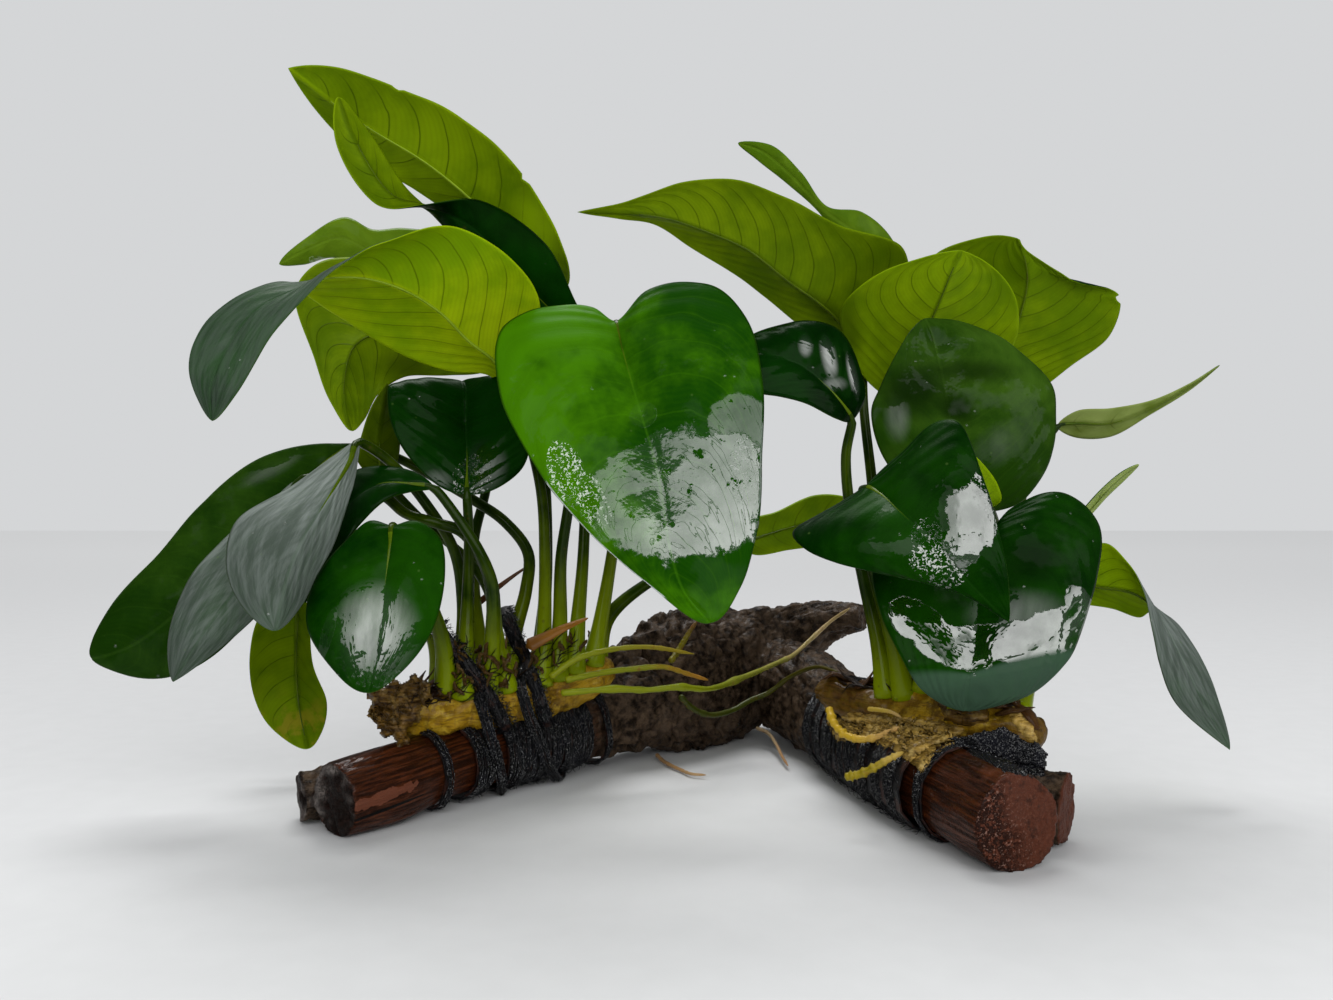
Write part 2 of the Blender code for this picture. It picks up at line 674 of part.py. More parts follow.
def blade_grid(spec):
    """Five points across for each row of the blade, from one margin to the other, a little bulged."""
    base, tip = seen(*spec["base"]), seen(*spec["tip"])
    rows = turned_rows(spec)
    grid = []
    for i, (one, middle, other) in enumerate(rows):
        behind = rows[i - 1][1] if i else base
        ahead = rows[i + 1][1] if i + 1 < len(rows) else tip
        normal = (other - one).cross(ahead - behind).normalized()
        halves = []
        for margin in (one, other):
            bulge = normal * BLADE_BULGE * (margin - middle).length
            halves.append(margin.lerp(middle, 0.5) + bulge)
        grid.append([one, halves[0], middle, halves[1], other])
    return base, grid, tip


def blade_rings(base, grid, tip):
    """The closed lens-shaped rings of the blade."""
    rings = []
    for i, row in enumerate(grid):
        behind = grid[i - 1] if i else [base] * 5
        ahead = grid[i + 1] if i + 1 < len(grid) else [tip] * 5
        upper, lower = [], []
        for j in (1, 2, 3):
            normal = (row[j + 1] - row[j - 1]).cross(ahead[j] - behind[j]).normalized()
            thickness = MIDRIB_THICKNESS if j == 2 else BLADE_THICKNESS
            upper.append(row[j] + normal * thickness / 2)
            lower.append(row[j] - normal * thickness / 2)
        rings.append([row[0], *upper, row[4], *reversed(lower)])
    return rings


def stalk_ring(centre, along, side, radius, flatness=1.0):
    """Eight points round a stalk, in the order of the blade's rings."""
    side = (side - along * side.dot(along)).normalized()
    up = side.cross(along)
    ring = []
    for step in range(8):
        angle = math.pi - step * math.pi / 4
        ring.append(centre + side * math.cos(angle) * radius + up * math.sin(angle) * radius * flatness)
    return ring


def leaf(name, spec, rhizome_tree):
    """A blade and its stalk, grown as one piece. The stalk's foot is shaped to the rhizome."""
    base, grid, tip = blade_grid(spec)
    path = [seen(*p) for p in spec["stalk"]] + [base]
    foot_radius = spec.get("foot", STALK_FOOT_RADIUS)
    side = (grid[0][4] - grid[0][0]).normalized()
    rings = []
    for i, centre in reversed(list(enumerate(path))):
        ahead = path[i + 1] if i + 1 < len(path) else grid[0][2]
        along = (ahead - path[max(i - 1, 0)]).normalized()
        share = i / (len(path) - 1)
        radius = foot_radius + (STALK_TOP_RADIUS - foot_radius) * share
        rings.append(stalk_ring(centre, along, side, radius, 1.0 if i + 1 < len(path) else 0.7))
        side = (side - along * side.dot(along)).normalized()
    rings.reverse()
    down = (path[0] - path[1]).normalized()
    foot, heel = foot_on_rhizome(rings[0], path[0], down, rhizome_tree)
    rings += blade_rings(base, grid, tip)
    for lift in range(20):
        rings[0] = [point - down * GAP * lift for point in foot]
        shape = lofted(rings, heel - down * GAP * lift, tip)
        bmesh.ops.triangulate(shape, faces=shape.faces)
        if not BVHTree.FromBMesh(shape).overlap(rhizome_tree):
            break
    return add_mesh(name, shape, LEAF_TOP if spec["shows"] == TOP else LEAF_UNDER)


def foot_on_rhizome(ring, centre, down, tree):
    """Moves the stalk's lowest ring along the stalk until it rests on the rhizome, less the gap."""
    reach = 0.030
    hits = []
    for point in [*ring, centre]:
        place, normal = tree.ray_cast(point - down * reach, down, 2 * reach)[:2]
        if place is not None:
            hits.append((place, normal))
    if not hits:
        print("no rhizome under a stalk at", [round(c * 1000) for c in centre])
        return ring, centre
    ground = sum((place for place, _ in hits), Vector()) / len(hits)
    slope = (sum((normal for _, normal in hits), Vector()).normalized() - down).normalized()
    moves = [(ground - p).dot(slope) / down.dot(slope) - 2 * GAP for p in [*ring, centre]]
    moved = [p + down * t for p, t in zip([*ring, centre], moves)]
    return moved[:8], moved[8]


# Driftwood


def limb_ring(centre, along, half_width, half_height, roughness, clearance, seed):
    """Fourteen points round a limb, with the ridges and hollows of weathered wood."""
    flat = Vector((along.x, along.y, 0.0)).normalized()
    side = Vector((flat.y, -flat.x, 0.0))
    up = side.cross(along).normalized()
    ring = []
    for step in range(LIMB_RING_POINTS):
        angle = 2 * math.pi * step / LIMB_RING_POINTS
        out = side * math.cos(angle) + up * math.sin(angle)
        ridge = noise.noise(centre * 70.0 + out * 1.7 + Vector((seed, 0.0, 0.0)))
        swell = 1.0 + roughness * 2.0 * ridge
        point = centre + (side * math.cos(angle) * half_width + up * math.sin(angle) * half_height) * swell
        point.z = max(point.z, clearance)
        ring.append(point)
    return ring


def limb(name, places, seed):
    """A driftwood limb lofted through its rings, sawn or broken flat at its ends."""
    centres = [spot(*place[:3]) for place in places]
    clearances = LIMB_CLEARANCE.get(name, [0.0] * len(places))
    rings = []
    for i, place in enumerate(places):
        ahead, behind = centres[min(i + 1, len(centres) - 1)], centres[max(i - 1, 0)]
        roughness = BARK_DEPTH * SMOOTH_LIMBS.get(name, 1.0)
        along = (ahead - behind).normalized()
        half_width, half_height = place[3] / 1000, place[4] / 1000
        clearance = clearances[i] / 1000
        rings.append(limb_ring(centres[i], along, half_width, half_height, roughness, clearance, seed))
    return add_mesh(name, lofted(rings), WOOD)


def part_at_joint(left, back):
    """Moves the back limb's first ring off the left limb's last one, so that the two meet face to face."""
    joint = spot(*LIMBS["driftwood_left_limb"][-1][:3])
    along = (spot(*LIMBS["driftwood_back_limb"][1][:3]) - joint).normalized()
    ends = left.data.vertices[-LIMB_RING_POINTS:]
    for i, vertex in enumerate(back.data.vertices[:LIMB_RING_POINTS]):
        vertex.co = ends[i].co + along * GAP


def fattened(source, distance):
    """A cutter: the source's evaluated shape pushed out by a distance."""
    graph = bpy.context.evaluated_depsgraph_get()
    mesh = bpy.data.meshes.new_from_object(source.evaluated_get(graph))
    mesh.transform(source.matrix_world)
    shape = bmesh.new()
    shape.from_mesh(mesh)
    shape.normal_update()
    pushes = [(v, v.normal.copy()) for v in shape.verts]
    for vertex, normal in pushes:
        vertex.co += normal * distance
    shape.to_mesh(mesh)
    shape.free()
    cutter = bpy.data.objects.new(source.name + "_cutter", mesh)
    cutter.hide_render = True
    cutter.display_type = "WIRE"
    CUTTERS.objects.link(cutter)
    return cutter


def cut(target, *cutters):
    """Takes the cutters out of the target, for good, and keeps only the largest body."""
    for each in cutters:
        modifier = target.modifiers.new("fit", "BOOLEAN")
        modifier.operation = "DIFFERENCE"
        modifier.object = each
    bpy.context.view_layer.update()
    graph = bpy.context.evaluated_depsgraph_get()
    mesh = bpy.data.meshes.new_from_object(target.evaluated_get(graph))
    target.modifiers.clear()
    target.data = mesh
    keep_largest_body(mesh)


def keep_largest_body(mesh):
    """Deletes the chips that a cut leaves beside the main body."""
    shape = bmesh.new()
    shape.from_mesh(mesh)
    unseen = set(shape.verts)
    bodies = []
    while unseen:
        start = unseen.pop()
        body, waiting = {start}, [start]
        while waiting:
            here = waiting.pop()
            for edge in here.link_edges:
                there = edge.other_vert(here)
                if there in unseen:
                    unseen.discard(there)
                    body.add(there)
                    waiting.append(there)
        bodies.append(body)
    bodies.sort(key=len)
    chips = [v for body in bodies[:-1] for v in body]
    bmesh.ops.delete(shape, geom=chips, context="VERTS")
    bmesh.ops.triangulate(shape, faces=shape.faces)
    shape.to_mesh(mesh)
    shape.free()


# Rhizomes


def rhizome(name, places, seed):
    """A lumpy creeping stem: rings of ten points round a path, closed to a point at both ends."""
    centres = [spot(*place[:3]) for place in places]
    rings = []
    for i in range(1, len(places) - 1):
        along = (centres[i + 1] - centres[i - 1]).normalized()
        side = along.cross(Vector((0.0, 0.0, 1.0))).normalized()
        up = side.cross(along)
        ring = []
        for step in range(10):
            angle = 2 * math.pi * step / 10
            out = side * math.cos(angle) + up * math.sin(angle)
            where = centres[i] * 120.0 + out * 1.2 + Vector((seed, 0.0, 0.0))
            lump = 1.0 + 2.0 * RHIZOME_LUMPS * noise.noise(where)
            ring.append(centres[i] + out * places[i][3] / 1000 * lump)
        rings.append(ring)
    return add_mesh(name, lofted(rings, centres[0], centres[-1]), RHIZOME)


# Thread


def taut_radii(tree, centre, along, side, up, offsets, count):
    """How far out a thread drawn tight round the shape lies, at each angle round the centre."""
    reach = 0.060
    radii = []
    for step in range(count):
        furthest = 0.0
        for part in range(-4, 5):
            angle = 2 * math.pi * (step + part / 8) / count
            out = side * math.cos(angle) + up * math.sin(angle)
            for offset in offsets:
                origin = centre + along * offset
                hit = tree.ray_cast(origin + out * reach, -out, reach)[0]
                if hit is not None:
                    furthest = max(furthest, (hit - origin).dot(out))
        radii.append(furthest)
    turn = 2 * math.pi / count
    for _ in range(40):
        for i in range(count):
            low, high = radii[i - 1], radii[(i + 1) % count]
            if low + high > 0.0:
                chord = 2 * low * high * math.cos(turn) / (low + high)
                radii[i] = max(radii[i], chord)
    return [(r + 1.5 * GAP) / math.cos(turn / 2) for r in radii]


def thread_ring(name, tree, stations, alongs):
    """A closed sleeve of thread turns drawn tight round the tree's shape, through its stations."""
    count = 16
    inner, outer = [], []
    for i, (centre, along) in enumerate(zip(stations, alongs)):
        flat = Vector((along.x, along.y, 0.0)).normalized()
        side = Vector((flat.y, -flat.x, 0.0))
        up = side.cross(along).normalized()
        behind = (centre - stations[max(i - 1, 0)]).length
        ahead = (centre - stations[min(i + 1, len(stations) - 1)]).length
        offsets = [-behind, -behind * 0.6, -behind * 0.3, 0.0, ahead * 0.3, ahead * 0.6, ahead]
        radii = taut_radii(tree, centre, along, side, up, offsets, count)
        rims = ([], [])
        for step, radius in enumerate(radii):
            angle = 2 * math.pi * step / count
            out = side * math.cos(angle) + up * math.sin(angle)
            for rim, extra, lowest in zip(rims, (0.0, THREAD_LAYER), (2.5 * GAP, GAP)):
                point = centre + out * (radius + extra)
                point.z = max(point.z, lowest)
                rim.append(point)
        inner.append(rims[0])
        outer.append(rims[1])
    shape = bmesh.new()
    layers = [[shape.verts.new(p) for p in ring] for ring in [*inner, *reversed(outer)]]
    for low, high in zip(layers, layers[1:] + layers[:1]):
        for i in range(count):
            j = (i + 1) % count
            shape.faces.new((low[i], low[j], high[j], high[i]))
    return add_mesh(name, shape, THREAD)


def wrap(name, limb_object, places):
    """Turns of thread round a limb, under the rhizome."""
    stations = [spot(*place) for place in places]
    alongs = []
    for i in range(len(stations)):
        ahead, behind = stations[min(i + 1, len(stations) - 1)], stations[max(i - 1, 0)]
        alongs.append((ahead - behind).normalized())
    return thread_ring(name, tree_of([limb_object]), stations, alongs)


def tie(name, objects, centre, heading, width):
    """One flat band of thread over the rhizome and round the limb."""
    along = Vector(heading).normalized()
    middle = spot(*centre)
    half = width / 2000.0
    stations = [middle - along * half, middle + along * half]
    return thread_ring(name, tree_of(objects), stations, [along, along])


# Roots


def smooth_points(points, steps):
    """Points on a smooth curve through the given ones."""
    ends = [2 * points[0] - points[1], *points, 2 * points[-1] - points[-2]]
    smooth = []
    for before, here, after, last in zip(ends, ends[1:], ends[2:], ends[3:]):
        for step in range(steps):
            t = step / steps
            smooth.append(
                0.5 * (
                    2 * here + (after - before) * t
                    + (2 * before - 5 * here + 4 * after - last) * t * t
                    + (3 * here - before - 3 * after + last) * t ** 3
                )
            )
    smooth.append(points[-1])
    return smooth


def root(name, radius, look, places):
    """A root or a dead sheath: a tube that thins out towards its end."""
    points = smooth_points([seen(*p) for p in places], 2)
    curve = bpy.data.curves.new(name, "CURVE")
    curve.dimensions = "3D"
    curve.bevel_depth = radius
    curve.bevel_resolution = 2
    curve.use_fill_caps = True
    spline = curve.splines.new("POLY")
    spline.points.add(len(points) - 1)
    for i, point in enumerate(points):
        spline.points[i].co = (*point, 1.0)
        spline.points[i].radius = 1.0 - 0.45 * (i / (len(points) - 1)) ** 2
    curve.materials.append(material(name, *look))
    made = bpy.data.objects.new(name, curve)
    PARTS.objects.link(made)
    return made


# Assembly


def set_origin(made, point):
    """Moves a part's origin to this point and leaves its shape where it is."""
    made.data.transform(Matrix.Translation(-point))
    made.location = point


def carry(child, carrier):
    """Parents a part to the one that carries it. Both hold their origins in world axes."""
    child.parent = carrier
    child.location = child.location - origin_of(carrier)


def origin_of(made):
    """Where a part's origin is in the world, through its carriers."""
    place = made.location.copy()
    if made.parent is not None:
        place += origin_of(made.parent)
    return place


def assemble():
    """Gives each part its origin where it is held, and parents it to what holds it."""
    found = {made.name: made for made in PARTS.objects}
    hub = "driftwood_back_limb"
    holds = {name: hub for name in LIMBS if name != hub}
    holds["driftwood_left_foot"] = "driftwood_left_limb"
    holds["driftwood_right_foot"] = "driftwood_right_limb"
    origins = {name: spot(*places[0][:3]) for name, places in LIMBS.items()}
    for name, places in RHIZOMES.items():
        origins[name] = spot(*places[0][:3])
        holds[name] = "driftwood_" + name.split("_")[0] + "_limb"
    for name, (limb_name, places) in WRAPS.items():
        origins[name] = spot(*places[0])
        holds[name] = limb_name
    for name, (stem, _, centre, _, _) in TIES.items():
        origins[name] = spot(*centre)
        holds[name] = stem
    for name, spec in LEAVES.items():
        origins[name] = seen(*spec["stalk"][0])
        holds[name] = spec["plant"] + "_rhizome"
    for name, (_, _, places) in ROOTS.items():
        origins[name] = seen(*places[0])
        holds[name] = "right_rhizome" if name.startswith("right") else "left_rhizome"
    for name, point in origins.items():
        set_origin(found[name], point)
    for name in [*LIMBS, *RHIZOMES, *WRAPS, *TIES, *LEAVES, *ROOTS]:
        if name in holds:
            carry(found[name], found[holds[name]])


def main():
    clear_scene()
    for collection in (PARTS, CUTTERS):
        bpy.context.scene.collection.children.link(collection)
    limbs = {name: limb(name, places, seed) for seed, (name, places) in enumerate(LIMBS.items())}
    part_at_joint(limbs["driftwood_left_limb"], limbs["driftwood_back_limb"])
    bpy.context.view_layer.update()
    room = 1.4 * GAP
    whole = {name: fattened(each, room) for name, each in limbs.items()}
    cut(limbs["driftwood_right_limb"], whole["driftwood_back_limb"])
    bpy.context.view_layer.update()
    wraps = {name: wrap(name, limbs[on], places) for name, (on, places) in WRAPS.items()}
    bpy.context.view_layer.update()
    whole.update({name: fattened(each, 2 * GAP) for name, each in wraps.items()})
    cut(limbs["driftwood_left_foot"], whole["driftwood_left_limb"])
    cut(limbs["driftwood_right_foot"], whole["driftwood_right_limb"], whole["right_wrap_wide"],
        whole["right_wrap_last"])
    rhizomes, trees = {}, {}
    for seed, (name, places) in enumerate(RHIZOMES.items()):
        plant = name.split("_")[0]
        rhizomes[name] = rhizome(name, places, seed * 7.0)
        bpy.context.view_layer.update()
        cut(rhizomes[name], *[each for n, each in whole.items() if plant in n or "back" in n])
        bpy.context.view_layer.update()
        trees[plant] = tree_of([rhizomes[name]])

    for name, (stem, on, centre, heading, width) in TIES.items():
        plant = stem.split("_")[0]
        under = [rhizomes[stem], limbs[on], *[w for n, w in wraps.items() if n.startswith(plant)]]
        tie(name, under, centre, heading, width)

    for name, spec in LEAVES.items():
        leaf(name, spec, trees[spec["plant"]])
    for name, (radius, look, places) in ROOTS.items():
        root(name, radius, look, places)
    for helper in list(CUTTERS.objects):
        bpy.data.objects.remove(helper)
    assemble()


main()
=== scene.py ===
"""Looks for the anubias on driftwood: leaves, stalks, wood, rhizomes, roots and thread over the CAD frame."""

import json
import math
import random

import bmesh
import bpy
import numpy as np
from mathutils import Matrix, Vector, noise
from mathutils.bvhtree import BVHTree

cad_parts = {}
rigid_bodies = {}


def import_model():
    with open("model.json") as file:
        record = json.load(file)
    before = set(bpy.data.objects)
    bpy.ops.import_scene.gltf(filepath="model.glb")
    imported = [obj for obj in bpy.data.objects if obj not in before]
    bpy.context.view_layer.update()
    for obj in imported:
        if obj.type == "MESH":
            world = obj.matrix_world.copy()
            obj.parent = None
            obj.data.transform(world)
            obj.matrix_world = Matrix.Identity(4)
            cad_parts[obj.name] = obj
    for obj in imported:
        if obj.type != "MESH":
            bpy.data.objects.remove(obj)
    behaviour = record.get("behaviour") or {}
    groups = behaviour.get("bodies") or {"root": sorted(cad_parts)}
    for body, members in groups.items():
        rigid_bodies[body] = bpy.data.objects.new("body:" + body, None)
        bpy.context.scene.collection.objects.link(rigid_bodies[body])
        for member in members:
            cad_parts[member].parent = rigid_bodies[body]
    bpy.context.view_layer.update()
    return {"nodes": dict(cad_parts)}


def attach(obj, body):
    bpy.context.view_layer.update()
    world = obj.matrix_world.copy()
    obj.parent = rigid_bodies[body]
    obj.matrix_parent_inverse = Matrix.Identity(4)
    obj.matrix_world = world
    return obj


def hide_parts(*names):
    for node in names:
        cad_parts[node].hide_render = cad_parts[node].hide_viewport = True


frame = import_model()
NODES = frame["nodes"]

# Driving dimensions, in metres, as in the CAD
STALK_FOOT_RADIUS = 0.0025
STALK_TOP_RADIUS = 0.0016
ROOT_RADIUS = 0.0012
FINE_ROOT_RADIUS = 0.0008
BARK_DEPTH = 0.10
RHIZOME_LUMPS = 0.10
BLADE_BULGE = 0.07
LIMB_RING_POINTS = 14
TIE_CORE = 0.0009
# Finer sizes that only the looks have, in metres
LEAF_THICKNESS = 0.0005
MESH_STEP = 0.0014
RIB_END_RADIUS = 0.00018
FOOT_SINK = 0.0015
WOOD_VOXEL = 0.0009
LIMB_GRAIN_SHIFT = 0.31
RHIZOME_RING_POINTS = 56
SCAR_SPACING = 0.0052
STRAND_RADIUS = 0.00024
BAND_SPACING = 0.0100
SLEEVE_ANGLES = 60
PROBE_INSET = 0.0003
# Loose fibres on each metre of thread winding and of a bundle over a rhizome
WINDING_HAIRS = 12000
BUNDLE_HAIRS = 14000
# How fine torn skin is cut, in pixels of the photograph
FLAP_STEP = 1.3
FLOOR_REACH = 6.0

# The eye that every place below is read from: x across, y away, z up from the floor
EYE = Vector((-0.0005, -0.3790, 0.1000))
FOCAL_PX = 1001.0
EYE_LEVEL_PX = (666.5, 515.0)
PHOTO_SIZE = (1333, 1000)


def seen(across, down, away):
    """The point at this photo pixel, away millimetres in front of the eye."""
    reach = away / 1000.0
    side = (across - EYE_LEVEL_PX[0]) * reach / FOCAL_PX
    rise = (EYE_LEVEL_PX[1] - down) * reach / FOCAL_PX
    return EYE + Vector((side, reach, rise))


def spot(side, away, height):
    """The point side millimetres right of the eye, away in front of it and height over the floor."""
    return Vector((EYE.x + side / 1000.0, EYE.y + away / 1000.0, height / 1000.0))


ROOT, PALE_ROOT, DEAD_LEAF = "root", "pale_root", "dead_sheath"
TOP, UNDER = "top", "under"
